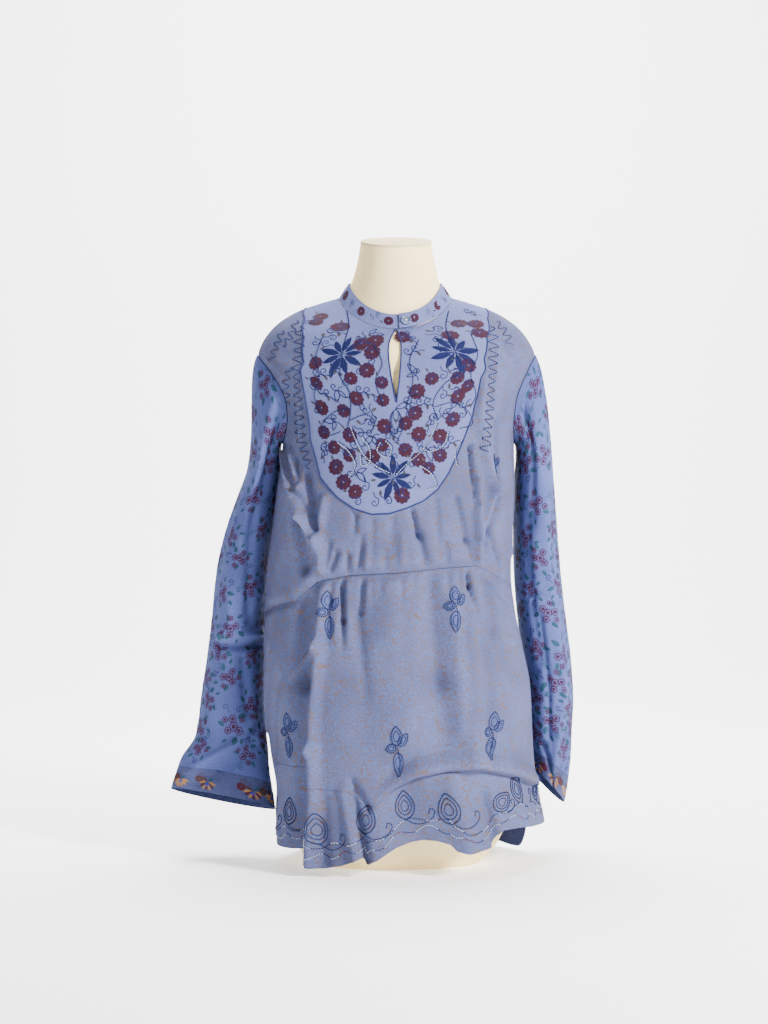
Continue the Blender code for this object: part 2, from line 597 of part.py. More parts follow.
def build_front_bodice():
    side = (90 - SIDE_GAP) * MM_PER_DEGREE
    waist = waist_level(FRONT_ANGLES) + half_seam(waist_level, FRONT_ANGLES)
    waist = np.stack([FRONT_ANGLES * MM_PER_DEGREE, waist], -1)
    turns = np.linspace(180, 0, 17)
    right_armhole = armhole_edge(1, ARMHOLE_FRONT_RIGHT, turns)
    left_armhole = armhole_edge(-1, ARMHOLE_FRONT_LEFT, turns[::-1])
    right_armhole[:, 0] = np.minimum(right_armhole[:, 0], side)
    left_armhole[:, 0] = np.maximum(left_armhole[:, 0], -side)
    seam = moved_sideways(BIB_SEAM, -SEAM_GAP / 2)[::-1]
    seam[0, 0], seam[-1, 0] = side, -side
    up_right = resampled(np.array([waist[-1], right_armhole[0]]), 12)
    shoulder_right = resampled(np.array([right_armhole[-1], seam[0]]), 12)
    shoulder_left = resampled(np.array([seam[-1], left_armhole[0]]), 12)
    down_left = resampled(np.array([left_armhole[-1], waist[0]]), 12)
    polygon = np.concatenate([
        waist, up_right[1:], right_armhole[1:], shoulder_right[1:], seam[1:], shoulder_left[1:],
        left_armhole[1:], down_left[1:-1],
    ])
    add_cut_panel("front_bodice", front_surface, polygon, 15.0, "body_cloth")


def build_front_lower():
    add_grid_panel(
        "front_skirt", front_surface, FRONT_ANGLES, band_level, waist_level,
        (0, 0.025, 0.05, 0.09, 0.15, 0.24, 0.36, 0.49, 0.62, 0.75, 0.87, 0.95, 1), "body_cloth",
    )
    add_grid_panel(
        "front_hem_band", front_surface, FRONT_ANGLES, front_hem_level, band_level,
        (0, 0.33, 0.66, 1), "body_cloth",
    )


def back_band_level(angle):
    return np.full(np.shape(angle), BACK_BAND_LEVEL)


def build_back():
    near, far = 90 + SIDE_GAP, 270 - SIDE_GAP
    across = np.linspace(near, far, 27)
    low = np.stack([across * MM_PER_DEGREE, back_band_level(across) + SEAM_GAP / 2], -1)
    turns = np.linspace(180, 360, 13)
    right_armhole = armhole_edge(1, 0.0, turns)
    left_armhole = armhole_edge(-1, 0.0, turns[::-1])
    right_armhole[:, 0] = np.maximum(right_armhole[:, 0], near * MM_PER_DEGREE)
    left_armhole[:, 0] = np.minimum(left_armhole[:, 0], far * MM_PER_DEGREE)
    top = NECKLINE - SEAM_GAP
    corner_left = [far * MM_PER_DEGREE, top]
    corner_right = [near * MM_PER_DEGREE, top]
    up_left = resampled(np.array([low[-1], left_armhole[-1]]), 22)
    shoulder_left = resampled(np.array([left_armhole[0], corner_left]), 16)
    neck = resampled(np.array([corner_left, corner_right]), 16)
    shoulder_right = resampled(np.array([corner_right, right_armhole[-1]]), 16)
    down_right = resampled(np.array([right_armhole[0], low[0]]), 22)
    polygon = np.concatenate([
        low, up_left[1:-1], left_armhole[::-1], shoulder_left[1:], neck[1:], shoulder_right[1:-1],
        right_armhole[::-1], down_right[1:-1],
    ])
    add_cut_panel("back_panel", back_surface, polygon, 25.0, "body_cloth")
    add_grid_panel(
        "back_hem_band", back_surface, across, back_hem_level, back_band_level, (0, 0.35, 0.7, 1),
        "body_cloth",
    )


def hanging_sleeve(table, side, turn, share):
    """The sleeve below the armhole. Share 0 is its first level section and 1 is the cuff's edge."""
    places = np.linspace(0, 1, len(table))

    def read(name):
        return smooth_through(share, places, column(SLEEVE_COLUMNS, table, name))

    around = np.radians(turn)
    down, up = np.radians(read("outer_side_down")), np.radians(read("front_up"))
    out = read("half_out") * np.cos(around)
    ahead = read("half_deep") * np.sin(around)
    x = read("centre_x") + side * out * np.cos(down)
    y = read("centre_y") - ahead * np.cos(up)
    z = read("z") - out * np.sin(down) + ahead * np.sin(up)
    return np.stack([x, y, z], -1)


def sleeve_surface(table, side, front_depth, folds):
    """The sleeve's outer face: turn goes round it, and place runs from -1 at the armhole to 1 at the cuff."""

    def smooth(turn, place):
        turn, place = np.broadcast_arrays(np.asarray(turn, float), np.asarray(place, float))
        step = 0.02
        hanging = hanging_sleeve(table, side, turn, np.clip(place, 0, 1))
        first = hanging_sleeve(table, side, turn, np.zeros_like(place))
        away = (hanging_sleeve(table, side, turn, np.full_like(place, step)) - first) / step
        angle, level = armhole(turn, side, front_depth)
        start = raised(body_base, angle, level, 0.6)
        start[..., 0] += side * 0.5
        around = np.radians(turn)
        upper = np.clip(np.cos(around), 0, 1)
        lower = np.clip(-np.cos(around), 0, 1)
        reach = (
            SLEEVE_LEAVES_BODY["front"]
            + (SLEEVE_LEAVES_BODY["top"] - SLEEVE_LEAVES_BODY["front"]) * upper**2
            + (SLEEVE_LEAVES_BODY["under"] - SLEEVE_LEAVES_BODY["front"]) * lower**2
        )
        steep = 0.35 + 0.5 * upper
        leave = np.stack([side * (1 - 0.5 * upper), np.zeros_like(upper), -steep], -1)
        leave = unit(leave) * reach[..., None]
        fall = np.linalg.norm(first - start, axis=-1)
        arrive = unit(away) * fall[..., None] * 0.9
        t = np.clip(place + 1, 0, 1)[..., None]
        cap = (
            start * (1 + 2 * t) * (1 - t) ** 2
            + leave * t * (1 - t) ** 2
            + first * t * t * (3 - 2 * t)
            + arrive * t * t * (t - 1)
        )
        return np.where((place < 0)[..., None], cap, hanging)

    def folded(turn, place):
        rise = fold_rise(folds, turn, place, 0.9, 430.0)
        near_armhole = smooth_step((place + 1) / 0.25)
        normal = surface_normal(smooth, turn, place, 3.0, 0.01, (-1, 1)) * side
        return smooth(turn, place) + normal * (rise * near_armhole)[..., None]

    return folded


def build_sleeve(name, table, side, front_depth, folds):
    surface = sleeve_surface(table, side, front_depth, folds)
    hang = abs(table[0][0] - table[-1][0])
    cuff_from = 1 - CUFF_HEIGHT / hang
    gap = 1.6 * SEAM_GAP / hang
    turns = np.arange(18) * 20.0
    pieces = (
        (f"sleeve_{name}", np.concatenate([
            np.linspace(-1, -0.15, 5), np.linspace(0.02, cuff_from - gap, 12)]), "sleeve_cloth"),
        (f"cuff_band_{name}", np.linspace(cuff_from, 1, 3), "cuff_cloth"),
    )
    for piece, places, material_name in pieces:
        turn, place = np.meshgrid(turns, places)
        turn, place = turn.ravel(), place.ravel()
        normal = surface_normal(surface, turn, place, 6.0, 0.03, (-1, 1)) * side
        outer = surface(turn, place)
        faces = grid_faces(len(places), len(turns), closed=True)
        add_wall(piece, outer, outer - normal * CLOTH_WALL, faces, material_name)


def collar_points(angle, rise, share):
    """Points of the collar band: share 0 is its seam and 1 its top edge."""
    low = body_base(angle, np.full_like(angle, NECKLINE))
    high = single_ring(COLLAR_TOP, angle)
    point = low + (high - low) * (0.02 + 0.98 * share[..., None])
    outward = unit(np.stack([point[..., 0], point[..., 1], np.full_like(angle, 25.0)], -1))
    return point + outward * rise[..., None]


def build_collar():
    """The band starts under its own right end, goes round the neck and ends lapped over its start."""
    travel = np.concatenate([np.linspace(20, -10, 5)[:-1], np.linspace(-10, -356.5, 37)])
    lap = (COLLAR_WALL + 2 * SEAM_GAP) * smooth_step((-travel - 296) / 42)
    shares = np.array([0.0, 0.5, 1.0])
    angle, share = np.meshgrid(travel, shares)
    rise = np.meshgrid(lap, shares)[0]
    angle, share, rise = angle.ravel(), share.ravel(), rise.ravel()
    outer = collar_points(angle, rise, share)
    inner = collar_points(angle, rise - COLLAR_WALL, share)
    faces = grid_faces(len(shares), len(travel))
    add_wall("collar_band", outer, inner, faces, "bib_cloth")


def circle(radius, count, centre=(0.0, 0.0)):
    turn = np.arange(count) * 2 * math.pi / count
    return np.stack([centre[0] + radius * np.cos(turn), centre[1] + radius * np.sin(turn)], -1)


def build_button():
    """A four-hole button with a raised rim, facing out from the lap of the collar."""
    rings = [circle(radius * BUTTON_DIAMETER / 2, 20) for radius, _ in BUTTON_PROFILE]
    holes = [circle(0.9, 8, centre) for centre in circle(1.95, 4)]
    loops = rings + holes
    points = np.concatenate(loops)
    edges, first = [], 0
    for loop in loops:
        edges += [(first + k, first + (k + 1) % len(loop)) for k in range(len(loop))]
        first += len(loop)
    made = delaunay_2d_cdt([tuple(p) for p in points], edges, [], 0, 1e-5)
    flat = np.array([tuple(p) for p in made[0]])
    middles = np.array([flat[list(face)].mean(0) for face in made[2]])
    in_hole = np.any([inside(hole, middles) for hole in holes], axis=0)
    faces = [tuple(face) for face, dropped in zip(made[2], in_hole) if not dropped]
    reach = np.hypot(flat[:, 0], flat[:, 1]) / (BUTTON_DIAMETER / 2)
    reaches = [radius for radius, _ in reversed(BUTTON_PROFILE)]
    height = np.interp(reach, reaches, [height for _, height in reversed(BUTTON_PROFILE)])
    foot = flat * np.where(reach > 0.99, 0.93, 1.0)[:, None]
    seat_rise = COLLAR_WALL + 3.5 * SEAM_GAP
    seat, beside, above = collar_points(
        np.array([10.5, 12.5, 10.5]), np.full(3, seat_rise), np.array([0.45, 0.45, 0.65])
    )
    facing = unit(np.cross(beside - seat, above - seat))
    across = unit(np.cross([0.0, 0.0, 1.0], facing))
    up = np.cross(facing, across)
    top = seat + flat[:, :1] * across + flat[:, 1:] * up + height[:, None] * facing
    back = seat + foot[:, :1] * across + foot[:, 1:] * up
    add_wall("button", top, back, faces, "button_pearl")


def form_surface(angle, level):
    """The dress form: its own rings low down, and the inside of the blouse over the shoulders."""
    own = ring_surface(FORM_RINGS, angle, level)
    inset = -(CLOTH_WALL + FORM_CLEARANCE)
    worn = raised(body_base, angle, level, inset)
    start, end = FORM_FOLLOWS_BLOUSE
    share = smooth_step((level - start) / (end - start))[..., None]
    return own * (1 - share) + worn * share


def build_form():
    angles = np.arange(30) * 12.0
    levels = np.array([
        0, 12, 32, 60, 155, 208, 260, 308, 355, 393, 430, 468, 505, 535, 562, 590, 618, 645, 668, 690, 704,
        718, 735, 752, 769, 784, 799, 813,
    ], float)
    angle, level = np.meshgrid(angles, levels)
    torso = form_surface(angle.ravel(), level.ravel()).reshape(len(levels), len(angles), 3)
    neck = [single_ring(ring, angles) for ring in NECK_RINGS]
    cap_ring = neck_plane_ring(angles, NECK_TOP["cap"] + SEAM_GAP)
    rings = np.concatenate([torso, neck, [cap_ring]])
    rows, columns = rings.shape[:2]
    faces = grid_faces(rows, columns, closed=True)
    faces.append(tuple(reversed(range(columns))))
    faces.append(tuple((rows - 1) * columns + c for c in range(columns)))
    add_object("form_torso", rings.reshape(-1, 3), faces, "form_jersey")
    cap = np.concatenate([neck_plane_ring(angles, NECK_TOP["cap"]), neck_plane_ring(angles, 0.0)])
    faces = grid_faces(2, columns, closed=True)
    faces.append(tuple(reversed(range(columns))))
    faces.append(tuple(columns + c for c in range(columns)))
    add_object("form_neck_cap", cap, faces, "form_jersey")


def neck_plane_ring(angles, below):
    """A ring of the neck's slanted top, a distance below it."""
    turn = np.radians(angles)
    depth = np.where(np.cos(turn) > 0, NECK_TOP["front"], NECK_TOP["back"])
    x = NECK_TOP["half_width"] * np.sin(turn)
    y = -depth * np.cos(turn)
    return np.stack([x, y, NECK_TOP["height"] - below + y * NECK_SLANT], -1)


def main():
    for leftover in list(bpy.data.objects):
        bpy.data.objects.remove(leftover, do_unlink=True)
    build_form()
    build_bib()
    build_front_bodice()
    build_front_lower()
    build_back()
    build_sleeve("left", SLEEVE_LEFT, -1, ARMHOLE_FRONT_LEFT, SLEEVE_LEFT_FOLDS)
    build_sleeve("right", SLEEVE_RIGHT, 1, ARMHOLE_FRONT_RIGHT, SLEEVE_RIGHT_FOLDS)
    build_collar()
    build_button()


main()
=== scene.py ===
"""The looks of a blouse with a round-ended bib, worn by a limbless dress form.

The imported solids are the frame. Each piece of cloth is drawn again here as a thin shell on the same
surface as its solid, with every fold, print and stitch. Lengths in the tables are in millimetres.
"""

import math

import bpy
import numpy as np
from mathutils.geometry import delaunay_2d_cdt
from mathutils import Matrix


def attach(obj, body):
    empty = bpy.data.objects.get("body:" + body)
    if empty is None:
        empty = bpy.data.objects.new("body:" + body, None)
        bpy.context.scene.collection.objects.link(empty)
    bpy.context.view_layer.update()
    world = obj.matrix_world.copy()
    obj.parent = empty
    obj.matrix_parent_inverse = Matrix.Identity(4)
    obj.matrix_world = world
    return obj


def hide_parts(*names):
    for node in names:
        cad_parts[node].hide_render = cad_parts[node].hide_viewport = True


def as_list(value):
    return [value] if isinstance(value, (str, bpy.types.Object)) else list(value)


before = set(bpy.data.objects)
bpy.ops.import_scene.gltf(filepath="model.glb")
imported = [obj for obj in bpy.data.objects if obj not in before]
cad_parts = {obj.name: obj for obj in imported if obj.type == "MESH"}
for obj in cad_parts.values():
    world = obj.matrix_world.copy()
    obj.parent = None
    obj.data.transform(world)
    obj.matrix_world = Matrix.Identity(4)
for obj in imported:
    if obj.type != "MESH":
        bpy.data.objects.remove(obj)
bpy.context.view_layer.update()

MM = 0.001

# Camera and frame
IMAGE = (768, 1024)
CAMERA_DISTANCE = 2600.0
CAMERA_HEIGHT = 470.0
MM_PER_PIXEL = 1.35
CENTRE_PIXEL = 396

# Dimensions of the part
CLOTH_WALL = 1.1
COLLAR_WALL = 2.0
SEAM_GAP = 0.35
FORM_CLEARANCE = 0.8
CUFF_HEIGHT = 40.0
BACK_BAND_LEVEL = 98.0
BUTTON_DIAMETER = 14.0
PRINT_LIFT = 0.3
LINE_ABOVE_SHAPES = 0.05
STITCH_LIFT = 0.35
NECK_SLANT = math.tan(math.radians(14.0))
FINE_BUTTON_PROFILE = (
    (1.0, 1.3), (0.985, 1.85), (0.95, 2.25), (0.9, 2.4), (0.84, 2.38), (0.78, 2.2), (0.72, 1.85),
    (0.66, 1.55), (0.5, 1.4), (0.34, 1.36),
)
SLEEVE_DROP = 436.0
SLEEVE_CAP_DROP = 130.0
SLEEVE_HALF_WIDTH = 36
SLEEVE_HALF_DEPTH = 60
BUTTON_HOLE_CIRCLE = 1.95
BUTTON_HOLE_RADIUS = 0.9
STRAND_SPACING = 0.42
STRAND_RADIUS = 0.26
UNDERARM = 562.0
SHOULDER_TIP = 685.0
NECKLINE = 827.0
KEYHOLE_HALF_TOP = 1.6
ARMHOLE_FRONT_LEFT = 29.0
ARMHOLE_FRONT_RIGHT = 18.0
ARMHOLE_BACK = 25.0
COLLAR_UNDER_END = 20
COLLAR_LAPPED_END = -356.5
COLLAR_LAP = {"from": -296, "run": 42}
COLLAR_MM_PER_DEGREE = 1.12
COLLAR_BAND = 19
BUTTON_AT = {"travel": 10.5, "share": 0.45}
MM_PER_DEGREE = 2.9
SIDE_GAP = 0.12

RING_COLUMNS = (
    "level", "side_z", "front_z", "back_z", "left", "right", "front", "back", "dip", "square",
)
BODY_RINGS = (
    (0, 0, 0, 0, 160, 205, 151, 130, 2.0, 0.04),
    (50, 50, 50, 50, 161, 201, 150, 129, 2.0, 0.04),
    (95, 95, 95, 95, 161, 192, 147, 126, 2.0, 0.04),
    (150, 150, 150, 150, 169, 185, 143, 122, 2.0, 0.04),
    (235, 235, 235, 235, 178, 181, 134, 115, 2.0, 0.04),
    (292, 292, 292, 292, 178, 170, 127, 109, 2.0, 0.04),
    (340, 340, 340, 340, 176, 160, 120, 104, 2.0, 0.04),
    (390, 390, 390, 390, 174, 155, 114, 100, 2.0, 0.04),
    (446, 446, 446, 446, 167, 157, 121, 98, 2.0, 0.04),
    (500, 500, 497, 501, 161, 160, 125, 98, 2.0, 0.04),
    (562, 562, 548, 566, 153, 159, 121, 99, 2.0, 0.04),
    (620, 620, 594, 626, 162, 166, 112, 98, 1.9, 0.03),
    (665, 665, 628, 672, 180, 182, 103, 94, 1.8, 0.02),
    (685, 682, 643, 688, 186, 187, 99, 90, 1.7, 0.02),
    (700, 697, 654, 703, 181, 181, 95, 87, 1.6, 0.01),
    (730, 721, 674, 726, 163, 162, 88, 79, 1.5, 0.01),
    (769, 741, 693, 745, 132, 130, 80, 69, 1.4, 0.0),
    (799, 751, 703, 755, 104, 102, 73, 63, 1.3, 0.0),
    (827, 759, 711, 763, 77, 75, 67, 58, 1.3, 0.0),
)

FORM_RINGS = (
    (0, 0, 0, 0, 112, 112, 72, 68, 2.0, 0.03),
    (12, 12, 12, 12, 126, 126, 84, 79, 2.0, 0.03),
    (32, 32, 32, 32, 140, 140, 97, 91, 2.0, 0.03),
    (60, 60, 60, 60, 150, 150, 107, 100, 2.0, 0.03),
    (155, 155, 155, 155, 155, 155, 112, 106, 2.0, 0.03),
    (260, 260, 260, 260, 136, 136, 97, 92, 2.0, 0.03),
    (355, 355, 355, 355, 113, 113, 82, 76, 2.0, 0.03),
    (430, 430, 430, 430, 124, 124, 95, 82, 2.0, 0.03),
    (505, 505, 503, 506, 141, 141, 114, 87, 2.0, 0.03),
    (562, 562, 548, 566, 141, 141, 110, 89, 2.0, 0.03),
    (610, 605, 583, 611, 145, 145, 103, 88, 1.9, 0.03),
    (645, 638, 610, 646, 154, 154, 99, 88, 1.8, 0.02),
    (670, 660, 631, 670, 161, 161, 95, 85, 1.8, 0.02),
    (690, 679, 643, 687, 165, 165, 91, 81, 1.7, 0.02),
    (705, 692, 653, 699, 166, 166, 87, 78, 1.6, 0.01),
    (740, 718, 673, 724, 150, 150, 79, 71, 1.5, 0.01),
)
FORM_FOLLOWS_BLOUSE = (700.0, 735.0)
NECK_RINGS = (
    (0, 755.9, 708.4, 760.2, 75.8, 73.8, 64.6, 56.0, 1.3, 0.0),
    (1, 762, 714, 766, 70.6, 68.8, 62.0, 53.6, 1.3, 0.0),
    (1, 779, 731, 786, 60.4, 58.4, 54.8, 50.8, 1.3, 0.0),
    (2, 795, 757, 802, 55.0, 55.0, 53.0, 47.0, 1.2, 0.0),
    (3, 812, 786, 823, 51.0, 51.0, 52.0, 43.0, 1.1, 0.0),
)
NECK_TOP = {"height": 836.5, "half_width": 47.6, "front": 52.0, "back": 40.0, "cap": 3.0}
COLLAR_TOP = (0, 779, 731, 786, 63.6, 61.4, 58.0, 54.0, 1.3, 0.0)

# Boundaries of the front pieces, seen from the front
OUTLINE_COLUMNS = ("x", "z")
WAIST_SEAM = (
    (-177, 335), (-130, 353), (-98, 380), (-60, 388), (0, 391), (60, 397), (102, 400), (128, 387),
    (157, 367),
)
BAND_TOP = (
    (-161, 142), (-120, 138), (-106, 114), (-60, 112), (-52, 103), (-40, 94), (-28, 94), (-2, 115), (27, 130),
    (66, 138), (104, 138), (140, 128), (172, 112), (192, 96),
)
FRONT_HEM = (
    (-161, 24), (-139, 30), (-120, 32), (-108.5, 34), (-106.5, 11), (-91, 12), (-69, 17), (-52, 24),
    (-42, 29), (-38, 19), (-23, 26), (-12, 34), (1, 42), (18, 48), (35, 51), (52, 50), (69, 45),
    (75, 37), (88, 33), (103, 35), (121, 38), (126, 52), (134, 59), (152, 60), (176, 58), (201, 53),
)
BIB_OUTLINE = (
    (-121, 728), (-120, 700), (-119, 665), (-115, 615), (-107, 563), (-94, 514), (-74, 489),
    (-53, 474), (-31, 467), (-8, 468), (14, 475), (35, 484), (53, 499), (66, 519), (77, 543),
    (87, 569), (97, 595), (104, 621), (109, 645), (115, 672), (119, 700), (122, 728),
)
KEYHOLE = (
    (2.0, 708), (6.1, 695), (6.6, 675), (4.9, 647), (1.8, 621), (0.2, 612), (-3.9, 632), (-7.4, 655),
    (-9.8, 675), (-8.2, 695), (-2.0, 709),
)
BACK_HEM_COLUMNS = ("angle", "level")
BACK_HEM = (
    (90, 53), (104, 51), (112, 45), (118, 33), (127, 5), (138, 8), (150, 13), (180, 17), (210, 14),
    (240, 16), (262, 22), (270, 24),
)

# Folds. Each row is a ridge, or where its rise is negative a trough, from one point to another.
# x0, z0, x1, z1, half_width, rise0, rise1
SKIRT_FOLDS = (
    # the centre front stands forward of the sides, and its left edge is a long ridge
    (-92, 376, -98, 292, 8, 7, 12), (-98, 292, -104, 163, 8, 12, 13), (-104, 163, -106, 16, 9, 13, 14),
    (-112, 372, -116, 250, 13, -7, -10), (-116, 250, -122, 30, 14, -10, -12),
    # pleats that start at the waist seam
    (-69, 388, -68, 330, 3.5, -9, -7), (-68, 330, -68, 290, 4, -7, -1), (-62, 388, -60, 310, 5, 3, 1),
    (-43, 390, -46, 340, 4, -5, -4), (-50, 340, -38, 228, 7, -5, -1), (-36, 390, -37, 350, 4, 3, 1),
    (-82, 384, -84, 352, 3.5, -4, -1), (-20, 391, -18, 362, 4, -3, -1), (6, 393, 8, 352, 4, -3, -1),
    (24, 395, 22, 368, 4, -3, -1), (66, 398, 68, 356, 4, -4, -1), (80, 399, 81, 374, 3.5, -4, -1),
    (-8, 385, 2, 200, 24, 7, 10), (-28, 300, -24, 180, 12, 3, 1), (24, 330, 20, 200, 10, 2, 3),
    (43, 395, 52, 250, 13, -8, -9), (52, 250, 62, 150, 16, -9, -5), (72, 352, 82, 190, 11, 7, 6),
    (90, 396, 93, 372, 3.5, -9, -9), (93, 372, 102, 342, 3.5, -9, -2),
    (94, 330, 98, 150, 12, 7, 7), (109, 300, 118, 150, 8, -3, -5),
    # creases that run down from the ends of the waist gathers to the side seams
    (-95, 387, -127, 355, 5, -9, -6), (-118, 380, -173, 338, 4.5, -6, -4), (-104, 376, -138, 346, 5, 4, 2),
    (-100, 301, -132, 256, 5, 5, 2), (-100, 286, -132, 244, 5, -4, -1), (-150, 250, -158, 140, 9, -3, -4),
    (117, 372, 125, 315, 10, -7, -6), (125, 315, 160, 219, 12, -6, -2), (108, 385, 142, 352, 4, -5, -2),
    (-86, 348, -88, 296, 5, -3, -1), (-166, 300, -170, 180, 7, 2, 3), (150, 300, 166, 180, 8, 3, 2),
    # waves of the hem band
    (-55, 125, -36, 92, 5, -6, -7), (-55, 112, -38, 24, 6, -6, -13), (-68, 112, -50, 20, 7, 3, 7),
    (10, 120, 28, 48, 22, -7, -10), (70, 132, 90, 34, 13, 5, 12), (112, 105, 123, 42, 6, -7, -9),
    (140, 110, 165, 52, 20, 4, 7), (-150, 130, -150, 50, 14, 3, 6), (-90, 100, -88, 20, 9, -2, -4),
)
BODICE_FOLDS = (
    # gathers between the bib and the waist seam
    (-52, 470, -53, 443, 4, -6, -3), (-44, 438, -46, 402, 3.5, -3, -6), (-61, 414, -60, 393, 3.5, -4, -8),
    (-75, 417, -81, 394, 4, -5, -7), (-4, 467, -6, 420, 6, -3, -1), (-84, 430, -88, 396, 4, -3, -5),
    (-30, 462, -31, 420, 4, -3, -1), (-36, 425, -38, 396, 4, 3, 4), (-14, 420, -14, 394, 4, -2, -4),
    (19, 474, 29, 438, 4, -7, -8), (29, 438, 36, 404, 7, -8, -7), (8, 440, 8, 396, 5, 2, 4),
    (50, 486, 56, 410, 5, -3, -3), (62, 430, 64, 402, 4, -3, -5),
    (76, 486, 88, 432, 5, -7, -6), (88, 432, 92, 406, 4, -6, -4), (101, 510, 102, 404, 6, 8, 11),
    (-90, 486, -99, 437, 6, 6, 8), (-99, 437, -93, 390, 6, 8, 5),
    # two soft tubes of cloth that fall from the left armhole to the waist
    (-144, 548, -115, 462, 6, 10, 11), (-115, 462, -101, 425, 6, 10, 6),
    (-134, 548, -121, 502, 5, 6, 7), (-121, 502, -109, 436, 5, 7, 5),
    (-127, 540, -112, 462, 3.5, -5, -5), (-112, 520, -99, 446, 5, -8, -9),
    (-124, 462, -114, 398, 8, -8, -9), (-138, 500, -126, 420, 7, 3, 3),
    # the raised panel of cloth beside the right edge of the bib
    (93, 556, 99, 478, 3.5, -10, -8), (108, 635, 121, 500, 9, 4, 11), (121, 500, 104, 438, 7, 11, 6),
    (128, 590, 131, 490, 5, -5, -7), (131, 490, 114, 430, 6, -7, -9), (116, 446, 142, 380, 5, -8, -6),
    (145, 560, 148, 420, 10, 3, 5), (140, 690, 142, 610, 10, -3, -4), (134, 470, 150, 400, 5, 3, 2),
    (-150, 650, -143, 570, 6, 2, 4), (-128, 620, -122, 566, 5, 2, 3), (128, 660, 126, 610, 6, 2, 2),
)
# angle0, level0, angle1, level1, half_width, rise0, rise1
BACK_FOLDS = (
    (116, 520, 114, 20, 16, -4, -9), (137, 610, 140, 20, 17, 3, 9), (160, 570, 158, 20, 14, -3, -8),
    (181, 520, 182, 20, 18, 2, 7), (204, 570, 205, 20, 14, -4, -8), (224, 610, 221, 20, 16, 3, 8),
    (244, 520, 246, 20, 15, -4, -8), (150, 650, 126, 520, 10, -3, -2), (212, 655, 236, 525, 10, -3, -2),
)

TUCK = {"from": -11.0, "full_from": 4.0, "full_to": 62.0, "to": 96.0, "roll": 10.0, "recess": 6.0}

SLEEVE_COLUMNS = (
    "z", "centre_x", "centre_y", "half_out", "half_deep", "outer_side_down", "front_up",
)
SLEEVE_LEFT = (
    (516, -182, 36, 25, 72, 0, 0), (446, -199.5, 44, 33.5, 68, 0, 0), (392, -210, 48, 36, 65, 0, 0),
    (324, -216, 48, 37, 62, 0, 0), (270, -219.5, 46, 40, 58, 0, 0), (216, -224, 42, 43, 54, -2, 4),
    (162, -225, 36, 49, 47, -5, 9), (122, -233, 28, 62, 37, -9, 14), (80, -235, 21, 72.5, 27, -11, 18),
)
SLEEVE_RIGHT = (
    (516, 188.5, 34, 26.5, 71, 0, 0), (446, 191, 46, 30, 67, 0, 0), (392, 194, 52, 32, 62, 0, 0),
    (338, 199, 55, 33, 60, 0, 0), (270, 207, 57, 34, 58, 4, 0), (216, 211, 59, 34, 56, 10, 2),
    (176, 210, 61, 34, 54, 18, 4), (134, 210, 62, 35, 52, 32, 7), (94, 208, 63, 35, 49, 45, 10),
)
# turn0, place0, turn1, place1, half_width, rise0, rise1
SLEEVE_LEFT_FOLDS = (
    (112, -0.85, 112, 0.02, 14, -7, -5), (78, -0.8, 84, 0.15, 9, 4, 5),
    (55, 0.415, 150, 0.415, 6, 5, 5), (55, 0.452, 150, 0.452, 5, -7, -7),
    (135, 0.68, 45, 0.93, 6, 7, 7), (135, 0.77, 60, 0.97, 8, -6, -5),
    (30, 0.1, 40, 0.38, 8, -3, -2), (95, 0.05, 118, 0.36, 8, -3, -4), (60, 0.2, 80, 0.38, 6, 2, 3),
    (150, 0.3, 100, 0.40, 6, 3, 2), (110, 0.5, 125, 0.66, 9, -3, -4),
    (230, 0.2, 250, 0.7, 12, -4, -3), (300, 0.1, 290, 0.6, 12, 3, 3), (215, 0.42, 280, 0.44, 7, -4, -4),
)
SLEEVE_RIGHT_FOLDS = (
    (100, -0.8, 105, 0.1, 12, -6, -4), (45, 0.35, 125, 0.33, 6, -4, -4), (70, 0.05, 60, 0.6, 10, 3, 4),
    (100, 0.4, 95, 0.8, 7, -4, -5), (60, 0.62, 85, 0.95, 7, 4, 4), (110, 0.85, 75, 1.0, 6, -5, -4),
    (120, 0.1, 112, 0.5, 7, -3, -3), (40, 0.75, 60, 0.97, 6, -3, -4), (50, 0.3, 52, 0.42, 5, 3, 2),
    (230, 0.2, 250, 0.7, 12, -4, -3), (300, 0.1, 290, 0.6, 12, 3, 3), (210, 0.34, 270, 0.36, 7, -4, -4),
)
SLEEVE_LEAVES_BODY = {"top": 95.0, "front": 55.0, "under": 22.0}


# The surfaces, as in the solids
def smooth_step(value):
    value = np.clip(value, 0.0, 1.0)
    return value * value * (3 - 2 * value)


def bell(value, middle, width):
    """1 at the middle, and falling away on both sides of it."""
    return np.exp(-(((value - middle) / width) ** 2))


def cubic(t, start, leave, end, arrive):
    """From start to end, with the given directions at the two ends."""
    return (
        start * (1 + 2 * t) * (1 - t) ** 2
        + leave * t * (1 - t) ** 2
        + end * t * t * (3 - 2 * t)
        + arrive * t * t * (t - 1)
    )


def smooth_through(at, places, values):
    """Monotone cubic interpolation: it passes through every value and never overshoots one."""
    places, values = np.asarray(places, float), np.asarray(values, float)
    run = np.diff(places)
    slope = np.diff(values) / run
    same_way = slope[1:] * slope[:-1] > 0
    inner = np.zeros(len(slope) - 1)
    weight_a, weight_b = 2 * run[1:] + run[:-1], run[1:] + 2 * run[:-1]
    low, high = slope[:-1][same_way], slope[1:][same_way]
    inner[same_way] = (weight_a + weight_b)[same_way] / (
        weight_a[same_way] / low + weight_b[same_way] / high
    )
    tangent = np.concatenate([slope[:1], inner, slope[-1:]])
    at = np.clip(at, places[0], places[-1])
    index = np.clip(np.searchsorted(places, at, side="right") - 1, 0, len(run) - 1)
    t = (at - places[index]) / run[index]
    leave, arrive = tangent[index] * run[index], tangent[index + 1] * run[index]
    return cubic(t, values[index], leave, values[index + 1], arrive)


def column(columns, table, name):
    return np.array([row[columns.index(name)] for row in table], float)


